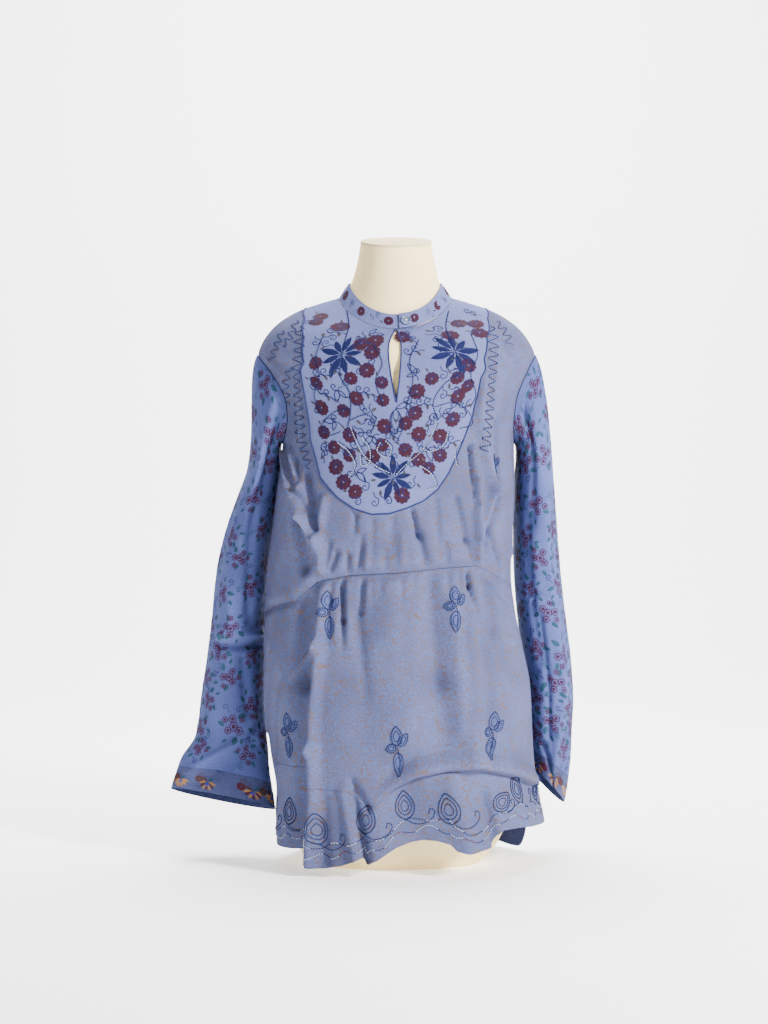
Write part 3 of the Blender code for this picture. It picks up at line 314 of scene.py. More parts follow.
def ring_point(read, angle):
    """A point of a ring, where read(name) gives that column of the ring."""
    turn = np.radians(angle)
    across, ahead = np.sin(turn), np.cos(turn)
    width = np.where(across < 0, read("left"), read("right"))
    depth = np.where(ahead > 0, read("front"), read("back"))
    middle_z = np.where(ahead > 0, read("front_z"), read("back_z"))
    corner = 1 + read("square") * np.sin(2 * turn) ** 2
    height = read("side_z") + (middle_z - read("side_z")) * np.abs(ahead) ** read("dip")
    return np.stack([width * across * corner, -depth * ahead * corner, height], -1)


def ring_surface(rings, angle, level):
    levels = column(RING_COLUMNS, rings, "level")
    return ring_point(
        lambda name: smooth_through(level, levels, column(RING_COLUMNS, rings, name)), angle
    )


def single_ring(ring, angle):
    return ring_point(lambda name: ring[RING_COLUMNS.index(name)], angle)


def body_base(angle, level):
    """The smooth outer surface of the blouse, with no folds."""
    return ring_surface(BODY_RINGS, angle, level)


def flat_map(angle, level):
    """Places on the flat map of the body's cloth, in millimetres."""
    return np.stack([angle * MM_PER_DEGREE, level], -1)


def off_flat_map(places):
    """The angle and level of places on the flat map."""
    return places[:, 0] / MM_PER_DEGREE, places[:, 1]


def unit(vectors):
    return vectors / np.linalg.norm(vectors, axis=-1, keepdims=True)


def surface_normal(surface, first, second, first_step=1.2, second_step=3.0, limits=(0.0, NECKLINE)):
    along_first = surface(first + first_step, second) - surface(first - first_step, second)
    higher, lower = np.clip(second + second_step, *limits), np.clip(second - second_step, *limits)
    return unit(np.cross(along_first, surface(first, higher) - surface(first, lower)))


def from_front(x, z):
    """The angle and level of the point that the front view shows at x, z."""
    low, high = np.full(np.shape(x), 0.0), np.full(np.shape(x), NECKLINE)
    levels = column(RING_COLUMNS, BODY_RINGS, "level")
    side = np.where(np.asarray(x) < 0, -1.0, 1.0)
    for _ in range(40):
        level = (low + high) / 2
        half = np.where(
            side < 0,
            smooth_through(level, levels, column(RING_COLUMNS, BODY_RINGS, "left")),
            smooth_through(level, levels, column(RING_COLUMNS, BODY_RINGS, "right")),
        )
        angle = np.degrees(np.arcsin(np.clip(np.asarray(x) / half, -1, 1)))
        above = body_base(angle, level)[..., 2] > z
        low, high = np.where(above, low, level), np.where(above, level, high)
    return angle, level


def outline_on_surface(outline):
    return from_front(
        column(OUTLINE_COLUMNS, outline, "x"), column(OUTLINE_COLUMNS, outline, "z")
    )


def boundary_level(outline):
    """The level of a seam or hem of the front as a function of the angle."""
    angles, levels = outline_on_surface(outline)
    angles[0], angles[-1] = -90.0, 90.0
    return lambda angle: np.interp(angle, angles, levels)


waist_level = boundary_level(WAIST_SEAM)
band_level = boundary_level(BAND_TOP)
front_hem_level = boundary_level(FRONT_HEM)


def back_hem_level(angle):
    angles = column(BACK_HEM_COLUMNS, BACK_HEM, "angle")
    return smooth_through(angle, angles, column(BACK_HEM_COLUMNS, BACK_HEM, "level"))


def placed_folds(folds):
    """The folds with their ends as angle and level, in the columns of the back folds."""
    placed = []
    for x0, z0, x1, z1, half_width, rise0, rise1 in folds:
        (angle0, angle1), (level0, level1) = from_front(np.array([x0, x1]), np.array([z0, z1]))
        placed.append((angle0, level0, angle1, level1, half_width, rise0, rise1))
    return tuple(placed)


def fold_rise(folds, first, second, first_scale, second_scale=1.0):
    """How far the folds lift the cloth at each point."""
    total = np.zeros(np.broadcast(first, second).shape)
    for first0, second0, first1, second1, half_width, rise0, rise1 in folds:
        run = np.array([(first1 - first0) * first_scale, (second1 - second0) * second_scale])
        from_start = (first - first0) * first_scale, (second - second0) * second_scale
        share = np.clip((from_start[0] * run[0] + from_start[1] * run[1]) / (run @ run), 0, 1)
        off_line = np.hypot(from_start[0] - share * run[0], from_start[1] - share * run[1])
        total += (rise0 + (rise1 - rise0) * share) * np.exp(-((off_line / half_width) ** 2))
    return total


PLACED_SKIRT = placed_folds(SKIRT_FOLDS)
PLACED_BODICE = placed_folds(BODICE_FOLDS)


def resampled(points, spacing):
    """The polyline with a point about every spacing, its own points kept."""
    made = [points[0]]
    for start, end in zip(points[:-1], points[1:]):
        pieces = max(1, round(float(np.linalg.norm(end - start)) / spacing))
        made += [start + (end - start) * (k + 1) / pieces for k in range(pieces)]
    return np.array(made)


def bib_edge(spacing):
    """The seam round the bib on the flat map, from the left shoulder seam to the right one."""
    angle, level = outline_on_surface(BIB_OUTLINE)
    half = column(RING_COLUMNS, BODY_RINGS, "left")
    levels = column(RING_COLUMNS, BODY_RINGS, "level")
    above_tip = levels >= SHOULDER_TIP
    start, end = (
        np.interp(-abs(corner[0]), -half[above_tip], levels[above_tip])
        for corner in (BIB_OUTLINE[0], BIB_OUTLINE[-1])
    )
    angle = np.concatenate([[-90 + SIDE_GAP], angle, [90 - SIDE_GAP]])
    level = np.concatenate([[start], level, [end]])
    return resampled(flat_map(angle, level), spacing)


def distance_to(line, points):
    """The distance from each point to a polyline, on the flat map."""
    nearest = np.full(points.shape[:-1], np.inf)
    for start, end in zip(line[:-1], line[1:]):
        run = end - start
        share = np.clip(((points - start) @ run) / (run @ run), 0, 1)
        nearest = np.minimum(nearest, np.linalg.norm(points - start - share[..., None] * run, axis=-1))
    return nearest


def inside(polygon, points):
    x, y = points[..., 0], points[..., 1]
    found = np.zeros(x.shape, bool)
    for (x0, y0), (x1, y1) in zip(polygon, np.roll(polygon, -1, axis=0)):
        if y0 == y1:
            continue
        crosses = ((y0 > y) != (y1 > y)) & (x < (x1 - x0) * (y - y0) / (y1 - y0) + x0)
        found ^= crosses
    return found


def armhole(turn, side, front_depth):
    """The armhole on the body surface. Turn 0 is the shoulder tip, 90 the front, 180 the underarm."""
    half_turn = np.radians(turn)
    level = UNDERARM + (SHOULDER_TIP - UNDERARM) * (1 + np.cos(half_turn)) / 2
    depth = np.where(np.sin(half_turn) > 0, front_depth, ARMHOLE_BACK)
    notch = depth * np.abs(np.sin(half_turn)) ** 0.8 * np.sign(np.sin(half_turn))
    return side * (90 - notch), level


def armhole_edge(side, front_depth, turns):
    """The armhole's edge on the flat map, where the left side of the back lies past 180 degrees."""
    angle, level = armhole(turns, side, front_depth)
    if side < 0 and turns.max() > 180:
        angle = angle + 360
    return flat_map(angle, level)


BIB_SEAM = bib_edge(12.0)
BIB_REGION = np.concatenate([BIB_SEAM, [[261, 900], [-261, 900]]])
FRONT_ARMHOLES = (
    armhole_edge(-1, ARMHOLE_FRONT_LEFT, np.linspace(0, 180, 17)),
    armhole_edge(1, ARMHOLE_FRONT_RIGHT, np.linspace(0, 180, 17)),
)


def tuck_strength(angle):
    rising = smooth_step((angle - TUCK["from"]) / (TUCK["full_from"] - TUCK["from"]))
    falling = smooth_step((TUCK["to"] - angle) / (TUCK["to"] - TUCK["full_to"]))
    return rising * falling


def front_rise(angle, level):
    """How far the front's folds stand out from the smooth surface."""
    above_waist = level - waist_level(angle)
    above_band = level - band_level(angle)
    seam_fade = 1 - bell(above_waist, 0, 9)
    skirt = fold_rise(PLACED_SKIRT, angle, level, MM_PER_DEGREE)
    bodice = fold_rise(PLACED_BODICE, angle, level, MM_PER_DEGREE)
    on_map = np.stack(np.broadcast_arrays(angle * MM_PER_DEGREE, level), -1)
    fade = smooth_step(distance_to(BIB_SEAM, on_map) / 8)
    for edge in FRONT_ARMHOLES:
        fade = fade * smooth_step(distance_to(edge, on_map) / 16)
    bodice = np.where(inside(BIB_REGION, on_map), 0.0, bodice * fade)
    gathered = smooth_step((46 - np.abs(angle)) / 12)
    blousing = 6 * gathered * bell(above_waist, 16, 14) * (above_waist > 0)
    drawn_in = -4 * bell(above_waist, 0, 7)
    roll = TUCK["roll"] * bell(above_band, 11, 8)
    crease = -4 * bell(above_band, 30, 7)
    behind = np.where(above_band < 0, smooth_step((above_band + 70) / 60), bell(above_band, 0, 5))
    tuck = tuck_strength(angle) * (roll + crease - TUCK["recess"] * behind)
    return np.where(above_waist > 0, bodice, skirt) * seam_fade + blousing + drawn_in + tuck


def back_rise(angle, level):
    free_of_sides = smooth_step((90 - np.abs(angle - 180)) / 12)
    return fold_rise(BACK_FOLDS, angle, level, MM_PER_DEGREE) * free_of_sides


def raised(surface, angle, level, rise):
    """Points that lie off a surface by rise, which is negative on its inside."""
    return surface(angle, level) + surface_normal(surface, angle, level) * rise


def front_surface(angle, level):
    """The outer face of the front of the blouse, folds and all."""
    sides = smooth_step((90 - np.abs(angle)) / 6)
    rise = front_rise(angle, level) * sides
    point = raised(body_base, angle, level, rise[..., None])
    droop = 6 * bell(level - band_level(angle), 9, 7)
    point[..., 2] -= tuck_strength(angle) * sides * droop
    return point


def back_surface(angle, level):
    return raised(body_base, angle, level, back_rise(angle, level)[..., None])


def hanging_sleeve(table, side, turn, share):
    """The sleeve below the armhole. Share 0 is its first level section and 1 is the cuff's edge."""
    places = np.linspace(0, 1, len(table))

    def read(name):
        return smooth_through(share, places, column(SLEEVE_COLUMNS, table, name))

    around = np.radians(turn)
    down, up = np.radians(read("outer_side_down")), np.radians(read("front_up"))
    out = read("half_out") * np.cos(around)
    ahead = read("half_deep") * np.sin(around)
    x = read("centre_x") + side * out * np.cos(down)
    y = read("centre_y") - ahead * np.cos(up)
    z = read("z") - out * np.sin(down) + ahead * np.sin(up)
    return np.stack([x, y, z], -1)


def sleeve_surface(table, side, front_depth, folds):
    """The sleeve's outer face: turn goes round it, and place runs from -1 at the armhole to 1 at the cuff."""

    def smooth(turn, place):
        turn, place = np.broadcast_arrays(np.asarray(turn, float), np.asarray(place, float))
        step = 0.02
        hanging = hanging_sleeve(table, side, turn, np.clip(place, 0, 1))
        first = hanging_sleeve(table, side, turn, np.zeros_like(place))
        away = (hanging_sleeve(table, side, turn, np.full_like(place, step)) - first) / step
        angle, level = armhole(turn, side, front_depth)
        start = raised(body_base, angle, level, 0.6)
        start[..., 0] += side * 0.5
        around = np.radians(turn)
        upper = np.clip(np.cos(around), 0, 1)
        lower = np.clip(-np.cos(around), 0, 1)
        reach = (
            SLEEVE_LEAVES_BODY["front"]
            + (SLEEVE_LEAVES_BODY["top"] - SLEEVE_LEAVES_BODY["front"]) * upper**2
            + (SLEEVE_LEAVES_BODY["under"] - SLEEVE_LEAVES_BODY["front"]) * lower**2
        )
        steep = 0.35 + 0.5 * upper
        leave = np.stack([side * (1 - 0.5 * upper), np.zeros_like(upper), -steep], -1)
        leave = unit(leave) * reach[..., None]
        fall = np.linalg.norm(first - start, axis=-1)
        arrive = unit(away) * fall[..., None] * 0.9
        t = np.clip(place + 1, 0, 1)[..., None]
        return np.where((place < 0)[..., None], cubic(t, start, leave, first, arrive), hanging)

    def folded(turn, place):
        rise = fold_rise(folds, turn, place, 0.9, 430.0)
        near_armhole = smooth_step((place + 1) / 0.25)
        normal = surface_normal(smooth, turn, place, 3.0, 0.01, (-1, 1)) * side
        return smooth(turn, place) + normal * (rise * near_armhole)[..., None]

    return folded


def collar_points(angle, rise, share):
    """Points of the collar band: share 0 is its seam and 1 its top edge."""
    low = body_base(angle, np.full_like(angle, NECKLINE))
    high = single_ring(COLLAR_TOP, angle)
    point = low + (high - low) * (0.02 + 0.98 * share[..., None])
    outward = unit(np.stack([point[..., 0], point[..., 1], np.full_like(angle, 25.0)], -1))
    return point + outward * rise[..., None]


def grid_faces(rows, columns, closed=False):
    """Triangles over a grid of points, so that both faces of a wall are split the same way."""
    faces = []
    for row in range(rows - 1):
        for place in range(columns if closed else columns - 1):
            here, beside = row * columns + place, row * columns + (place + 1) % columns
            faces += [(here, beside, beside + columns), (here, beside + columns, here + columns)]
    return faces


def half_seam(boundary, angle):
    """Half of a seam's gap, measured up the levels from a boundary that slopes."""
    slope = (boundary(angle + 1) - boundary(angle - 1)) / (2 * MM_PER_DEGREE)
    return SEAM_GAP / 2 * (0.6 + np.hypot(1, slope) * 0.6)


def moved_sideways(line, distance):
    """The polyline moved to its left by a distance, on a flat map."""
    run = unit(np.gradient(line, axis=0))
    return line + np.stack([-run[:, 1], run[:, 0]], -1) * distance


def reach_along(line):
    """How far along a polyline each of its points lies."""
    return np.concatenate([[0], np.cumsum(np.linalg.norm(np.diff(line, axis=0), axis=1))])


def points_at(distances, reach, line):
    """The points at distances along a polyline, where reach is each of its points' distance."""
    return np.stack([np.interp(distances, reach, part) for part in line.T], -1)


def form_surface(angle, level):
    """The dress form: its own rings low down, and the inside of the blouse over the shoulders."""
    own = ring_surface(FORM_RINGS, angle, level)
    inset = -(CLOTH_WALL + FORM_CLEARANCE)
    worn = raised(body_base, angle, level, inset)
    start, end = FORM_FOLLOWS_BLOUSE
    share = smooth_step((level - start) / (end - start))[..., None]
    return own * (1 - share) + worn * share


def neck_plane_ring(angles, below):
    """A ring of the neck's slanted top, a distance below it."""
    turn = np.radians(angles)
    depth = np.where(np.cos(turn) > 0, NECK_TOP["front"], NECK_TOP["back"])
    x = NECK_TOP["half_width"] * np.sin(turn)
    y = -depth * np.cos(turn)
    return np.stack([x, y, NECK_TOP["height"] - below + y * NECK_SLANT], -1)


# Meshes
def new_object(name, points, faces, materials, face_slots=None, uv=None):
    mesh = bpy.data.meshes.new(name)
    mesh.from_pydata((np.asarray(points) * MM).tolist(), [], [tuple(face) for face in faces])
    for made in materials:
        mesh.materials.append(made)
    if face_slots is not None:
        mesh.polygons.foreach_set("material_index", np.asarray(face_slots, np.int32))
    if uv is not None:
        layer = mesh.uv_layers.new(name="cloth")
        corners = np.zeros(len(mesh.loops), np.int32)
        mesh.loops.foreach_get("vertex_index", corners)
        layer.data.foreach_set("uv", (np.asarray(uv) * MM)[corners].astype(np.float32).ravel())
    mesh.shade_smooth()
    made = bpy.data.objects.new(name, mesh)
    bpy.context.scene.collection.objects.link(made)
    return made


def outward_faces(points, faces):
    """The faces, turned if need be so that the closed mesh has its outside out."""
    corners = points[np.array(faces)]
    volume = np.einsum("ij,ij->i", corners[:, 0], np.cross(corners[:, 1], corners[:, 2])).sum()
    return faces if volume > 0 else [tuple(reversed(face)) for face in faces]


def add_shell(name, outer, inner, faces, flat, outside, inside_material):
    """A closed wall of cloth; flat holds each point's place on the flat cloth."""
    count = len(outer)
    directed = {edge for face in faces for edge in zip(face, (*face[1:], face[0]))}
    rim = sorted((a, b) for a, b in directed if (b, a) not in directed)
    whole = [tuple(face) for face in faces]
    whole += [tuple(corner + count for corner in reversed(face)) for face in faces]
    slots = [0] * len(faces) + [1] * len(faces) + [0] * (2 * len(rim))
    for a, b in rim:
        whole += [(b, a, a + count), (b, a + count, b + count)]
    points = np.concatenate([outer, inner])
    whole = outward_faces(points, whole)
    made = new_object(name, points, whole, [outside, inside_material], slots, np.concatenate([flat, flat]))
    made.data.set_sharp_from_angle(angle=math.radians(70))
    return made


def body_shell(name, surface, angle, level, faces, materials):
    """A wall of cloth whose outer face is on a surface of the body."""
    outer, inner = surface(angle, level), raised(surface, angle, level, -CLOTH_WALL)
    return add_shell(name, outer, inner, faces, flat_map(angle, level), *materials)


def grid_shell(name, surface, angles, low_level, high_level, rows, materials):
    """A piece between two seams, filled with a grid."""
    angle, share = np.meshgrid(angles, np.linspace(0, 1, rows))
    low = low_level(angle) + half_seam(low_level, angle)
    high = high_level(angle) - half_seam(high_level, angle)
    level = low + (high - low) * share
    faces = grid_faces(rows, len(angles))
    return body_shell(name, surface, angle.ravel(), level.ravel(), faces, materials)


def cut_shell(name, surface, polygon, spacing, materials):
    """A piece of any outline on the flat map, filled with points on a staggered grid."""
    low, high = polygon.min(0), polygon.max(0)
    row_height = spacing * math.sqrt(3) / 2
    rows = np.arange(low[1] + row_height / 2, high[1], row_height)
    filling = np.concatenate([
        np.stack(np.broadcast_arrays(np.arange(low[0] + (index % 2) * spacing / 2, high[0], spacing), y), -1)
        for index, y in enumerate(rows)
    ])
    closed = np.concatenate([polygon, polygon[:1]])
    filling = filling[inside(polygon, filling)]
    filling = filling[distance_to(closed, filling) > spacing * 0.5]
    points = np.concatenate([polygon, filling])
    edges = [(k, (k + 1) % len(polygon)) for k in range(len(polygon))]
    made = delaunay_2d_cdt([tuple(p) for p in points], edges, [], 0, 1e-5)
    flat = np.array([tuple(p) for p in made[0]])
    faces = np.array([tuple(face) for face in made[2]])
    faces = faces[inside(polygon, flat[faces].mean(1))]
    faces = [tuple(int(corner) for corner in face) for face in faces]
    return body_shell(name, surface, *off_flat_map(flat), faces, materials)


# Things that lie on the cloth
SCALE_GRID = 41


class Drawing:
    """Flat shapes and stitches, gathered for one surface and raised off it as one mesh a colour."""

    def __init__(self, surface, first_range, second_range, side=1, steps=(0.4, 1.0), limits=(0.0, NECKLINE)):
        self.surface, self.side, self.steps, self.limits = surface, side, steps, limits
        self.shapes, self.lines, self.rows = [], [], []
        self.first = np.linspace(*first_range, SCALE_GRID)
        self.second = np.linspace(*second_range, SCALE_GRID)
        grid = surface(*(axis.ravel() for axis in np.meshgrid(self.first, self.second)))
        grid = grid.reshape(SCALE_GRID, SCALE_GRID, 3)
        across = np.linalg.norm(np.gradient(grid, self.first, axis=1), axis=-1)
        along = np.linalg.norm(np.gradient(grid, self.second, axis=0), axis=-1)
        self.scales = np.stack([across, along], -1)

    def scale(self, at):
        """Millimetres of cloth for one unit of each coordinate, near a point."""
        column = int(np.clip(np.searchsorted(self.first, at[0]), 1, SCALE_GRID - 2))
        row = int(np.clip(np.searchsorted(self.second, at[1]), 1, SCALE_GRID - 2))
        return self.scales[row - 1:row + 2, column - 1:column + 2].mean((0, 1))

    def local(self, at, size, turn, points):
        """Points of a small figure, in units of size, as surface coordinates."""
        c, s = math.cos(math.radians(turn)), math.sin(math.radians(turn))
        shape = (np.asarray(points, float) * size) @ np.array([[c, s], [-s, c]])
        return np.array(at) + shape / self.scale(at)

    def beside(self, at, distance, heading):
        """The place a distance away on the cloth, at a heading from straight up."""
        return tuple(self.local(at, distance, heading, ((0, 1.0),))[0])

    def polygon(self, ink, at, size, turn, outline, squeeze=1.0):
        """A filled outline, star-shaped about its middle, in units of size."""
        outline = np.asarray(outline, float) * [squeeze, 1.0]
        middle = outline.mean(0)
        shape = np.concatenate([middle[None], middle + (outline - middle) * 0.55, outline])
        count = len(outline)
        faces = []
        for k in range(count):
            n = (k + 1) % count
            faces += [(0, 1 + k, 1 + n), (1 + k, 1 + count + k, 1 + count + n), (1 + k, 1 + count + n, 1 + n)]
        self.shapes.append((ink, self.local(at, size, turn, shape), faces))

    def line(self, ink, points, width):
        """A ribbon along points given in the surface's own coordinates."""
        self.lines.append((ink, np.asarray(points, float), width))

    def stitches(self, ink, points, width=1.0, length=2.6):
        self.rows.append((ink, np.asarray(points, float), width, length))

    def gather(self, groups):
        """Several lists of places as one, kept on the piece, and where each list but the last ends."""
        places = np.concatenate(groups)
        places[:, 1] = np.clip(places[:, 1], self.second[0], self.second[-1])
        return places, np.cumsum([len(group) for group in groups])[:-1]

    def measure(self, groups):
        """Points and normals for several lists of places, found together."""
        places, ends = self.gather(groups)
        points = self.surface(places[:, 0], places[:, 1])
        normals = surface_normal(self.surface, places[:, 0], places[:, 1], *self.steps, self.limits)
        return zip(np.split(points, ends), np.split(normals * self.side, ends))

    def chunks(self):
        """Each ink's chunks of mesh: printed shapes and lines are flat, stitches are raised."""
        parts = {}
        if self.shapes:
            found = self.measure([places for _, places, _ in self.shapes])
            for (ink, _, faces), (points, normals) in zip(self.shapes, found):
                parts.setdefault(ink, []).append((points + normals * PRINT_LIFT, faces))
        if self.lines:
            found = self.measure([places for _, places, _ in self.lines])
            for (ink, _, width), (points, normals) in zip(self.lines, found):
                raised_line = points + normals * (PRINT_LIFT + LINE_ABOVE_SHAPES)
                parts.setdefault(ink, []).append(ribbon(raised_line, normals, width))
        if self.rows:
            measured = [self.stitch_places(row) for row in self.lay_rows()]
            found = self.measure([places for places, _ in measured])
            for (ink, _, width, length), (_, along), (points, normals) in zip(self.rows, measured, found):
                parts.setdefault(ink, []).append(stitch_row(points, normals, along, width, length))
        return parts

    def build(self, name, inks):
        """One object for each ink."""
        made = []
        for ink, chunks in sorted(self.chunks().items()):
            points, faces, count = [], [], 0
            for chunk_points, chunk_faces in chunks:
                points.append(chunk_points)
                faces += [tuple(corner + count for corner in face) for face in chunk_faces]
                count += len(chunk_points)
            made.append(new_object(f"{name}_{ink}", np.concatenate(points), faces, [inks[ink]]))
        return made

    def lay_rows(self):
        """Each row of stitches with its line in space."""
        places, ends = self.gather([row[1] for row in self.rows])
        return zip(self.rows, np.split(self.surface(places[:, 0], places[:, 1]), ends))

    def stitch_places(self, laid):
        """The middle of each stitch of a row, and the way that the row runs there."""
        (_, places, _, length), line = laid
        reach = reach_along(line)
        count = max(1, int(reach[-1] / (length * 1.08)))
        at = (np.arange(count) + 0.5) * reach[-1] / count
        along = points_at(at + 0.6, reach, line) - points_at(at - 0.6, reach, line)
        return points_at(at, reach, places), unit(along)


def ribbon(centre, normals, width):
    run = np.gradient(centre, axis=0)
    across = unit(np.cross(normals, run)) * width / 2
    count = len(centre)
    faces = [(k, k + 1, count + k + 1, count + k) for k in range(count - 1)]
    return np.concatenate([centre - across, centre + across]), faces


def stitch_row(points, normals, along, width, length):
    """Plump stitches end to end along a line."""
    across = np.cross(normals, along)
    middle = points + normals * STITCH_LIFT
    tip, edge, crown = along * length / 2, across * width / 2, normals * width * 0.55
    corners = np.stack([
        middle - tip, middle + tip, middle + edge, middle - edge,
        middle + crown - tip * 0.4, middle + crown + tip * 0.4,
    ], 1)
    faces = []
    for b in range(0, 6 * len(points), 6):
        for face in ((0, 3, 4), (0, 4, 2), (2, 4, 5, 1), (3, 1, 5, 4), (0, 2, 1, 3)):
            faces.append(tuple(b + corner for corner in face))
    return corners.reshape(-1, 3), faces


def smooth_line(points, pieces=8):
    """A Catmull-Rom curve through the points."""
    points = np.asarray(points, float)
    padded = np.concatenate([2 * points[:1] - points[1:2], points, 2 * points[-1:] - points[-2:-1]])
    t = np.linspace(0, 1, pieces, endpoint=False)[:, None]
    made = []
    for a, b, c, d in zip(padded[:-3], padded[1:-2], padded[2:-1], padded[3:]):
        made.append(0.5 * (2 * b + (c - a) * t + (2 * a - 5 * b + 4 * c - d) * t**2
                           + (3 * b - a - 3 * c + d) * t**3))
    return np.concatenate([*made, points[-1:]])


def front_line(points, pieces=8):
    """A curve given as the front view shows it, in surface coordinates."""
    curve = smooth_line(points, pieces)
    return np.stack(from_front(curve[:, 0], curve[:, 1]), -1)


def front_at(x, z):
    angle, level = from_front(np.array([float(x)]), np.array([float(z)]))
    return float(angle[0]), float(level[0])


def add_tube(name, line, radius, material, sides=8, closed=False):
    """A round cord along points in space."""
    line = np.asarray(line, float)
    run = unit(np.gradient(line, axis=0))
    side = unit(np.cross(run, [0.0, -1.0, 0.05]))
    up = np.cross(side, run)
    turn = np.arange(sides) * 2 * math.pi / sides
    points = (line[:, None] + radius * (np.cos(turn)[None, :, None] * side[:, None]
                                        + np.sin(turn)[None, :, None] * up[:, None])).reshape(-1, 3)
    faces = grid_faces(len(line), sides, closed=True)
    if closed:
        last = (len(line) - 1) * sides
        for k in range(sides):
            n = (k + 1) % sides
            faces += [(last + k, last + n, n), (last + k, n, k)]
    else:
        faces.append(tuple(reversed(range(sides))))
        faces.append(tuple(range((len(line) - 1) * sides, len(line) * sides)))
    return new_object(name, points, faces, [material])


# Materials
def add_node(tree, kind, inputs=None, **settings):
    node = tree.nodes.new(kind)
    for name, value in settings.items():
        setattr(node, name, value)
    for name, value in (inputs or {}).items():
        if isinstance(value, bpy.types.NodeSocket):
            tree.links.new(value, node.inputs[name])
        else:
            node.inputs[name].default_value = value
    return node


def maths(tree, operation, first, second=0.0):
    return add_node(tree, "ShaderNodeMath", {0: first, 1: second}, operation=operation).outputs[0]


def blend_colours(tree, share, first, second):
    node = add_node(tree, "ShaderNodeMix", data_type="RGBA")
    for socket, value in ((node.inputs[0], share), (node.inputs[6], first), (node.inputs[7], second)):
        if isinstance(value, bpy.types.NodeSocket):
            tree.links.new(value, socket)
        else:
            socket.default_value = value
    return node.outputs[2]


def rgba(colour, gain=1.0, offset=0.0):
    return (*(min(1.0, gain * part + offset) for part in colour), 1.0)


def scaled(tree, value, gain, offset):
    return maths(tree, "ADD", maths(tree, "MULTIPLY", value, gain), offset)


def noise(tree, place, scale, detail=2.0, distortion=0.0):
    node = add_node(
        tree, "ShaderNodeTexNoise",
        {"Vector": place, "Scale": scale, "Detail": detail, "Distortion": distortion},
    )
    return node.outputs["Fac"]


def stepped(tree, value, low, high):
    node = add_node(
        tree, "ShaderNodeMapRange", {0: value, 1: low, 2: high, 3: 0.0, 4: 1.0},
        interpolation_type="SMOOTHSTEP",
    )
    return node.outputs[0]


def shader(tree, colour, roughness, gloss=0.1, coat=0.0, metallic=0.0, bump=None, strength=0.3, depth=0.0003):
    inputs = {"Base Color": colour, "Roughness": roughness, "Specular IOR Level": gloss,
              "Coat Weight": coat, "Metallic": metallic}
    if bump is not None:
        raised_by = {"Height": bump, "Strength": strength, "Distance": depth}
        inputs["Normal"] = add_node(tree, "ShaderNodeBump", raised_by).outputs[0]
    return add_node(tree, "ShaderNodeBsdfPrincipled", inputs)


def new_material(name, on_cloth=False):
    """An empty material, its nodes and the place that its patterns follow."""
    made = bpy.data.materials.new(name)
    made.use_nodes = True
    tree = made.node_tree
    tree.nodes.clear()
    if on_cloth:
        return made, tree, add_node(tree, "ShaderNodeUVMap", uv_map="cloth").outputs[0]
    return made, tree, add_node(tree, "ShaderNodeTexCoord").outputs["Object"]


def finished(made, tree, surface):
    add_node(tree, "ShaderNodeOutputMaterial", {0: surface.outputs[0]})
    return made


def weave_height(tree, place, threads_per_metre):
    """Warp and weft as two crossed ripples."""
    split = add_node(tree, "ShaderNodeSeparateXYZ", {0: place})
    turns = threads_per_metre * 2 * math.pi
    warp = maths(tree, "SINE", maths(tree, "MULTIPLY", split.outputs[0], turns))
    weft = maths(tree, "SINE", maths(tree, "MULTIPLY", split.outputs[1], turns))
    return maths(tree, "MULTIPLY", warp, weft)


def squiggle_share(tree, place, scale, phase):
    """Broken contour lines of a noise field: 1 on a line and 0 off it."""
    field = noise(tree, place, scale, 1.0, 2.2)
    bands = maths(tree, "FRACT", scaled(tree, field, 4.5, phase))
    gap = maths(tree, "ABSOLUTE", maths(tree, "SUBTRACT", bands, 0.5))
    drawn = maths(tree, "SUBTRACT", 1.0, stepped(tree, gap, 0.05, 0.12))
    broken = stepped(tree, noise(tree, place, 34.0 + scale, 1.0), 0.36, 0.46)
    return maths(tree, "MULTIPLY", maths(tree, "MULTIPLY", drawn, broken), 0.7)


def cloth(name, colour, shade, squiggle=None, threads=900.0, nub=0.5, roughness=0.85):
    """Woven cotton: crossed threads, slubs, slow changes of colour, and an optional squiggle print."""
    made, tree, place = new_material(name, on_cloth=True)
    slow = noise(tree, place, 11.0, 4.0)
    slub = noise(tree, place, 330.0, 4.0)
    tone = blend_colours(tree, stepped(tree, slow, 0.35, 0.68), rgba(colour), rgba(shade))
    dark_slubs = maths(tree, "MULTIPLY", stepped(tree, slub, 0.48, 0.66), nub)
    tone = blend_colours(tree, dark_slubs, tone, rgba(shade, 0.45))
    pale_slubs = maths(tree, "MULTIPLY", stepped(tree, slub, 0.46, 0.32), nub * 0.8)
    tone = blend_colours(tree, pale_slubs, tone, rgba(colour, 1.7))
    if squiggle is not None:
        for scale, phase in ((46.0, 0.0), (64.0, 0.4)):
            tone = blend_colours(tree, squiggle_share(tree, place, scale, phase), tone, rgba(squiggle))
    weave = weave_height(tree, place, threads)
    height = maths(tree, "ADD", maths(tree, "MULTIPLY", weave, 0.3), maths(tree, "MULTIPLY", slub, nub * 2))
    rough = scaled(tree, slub, 0.15, roughness - 0.08)
    surface = shader(tree, tone, rough, bump=height, strength=0.7, depth=0.0007)
    return finished(made, tree, surface)


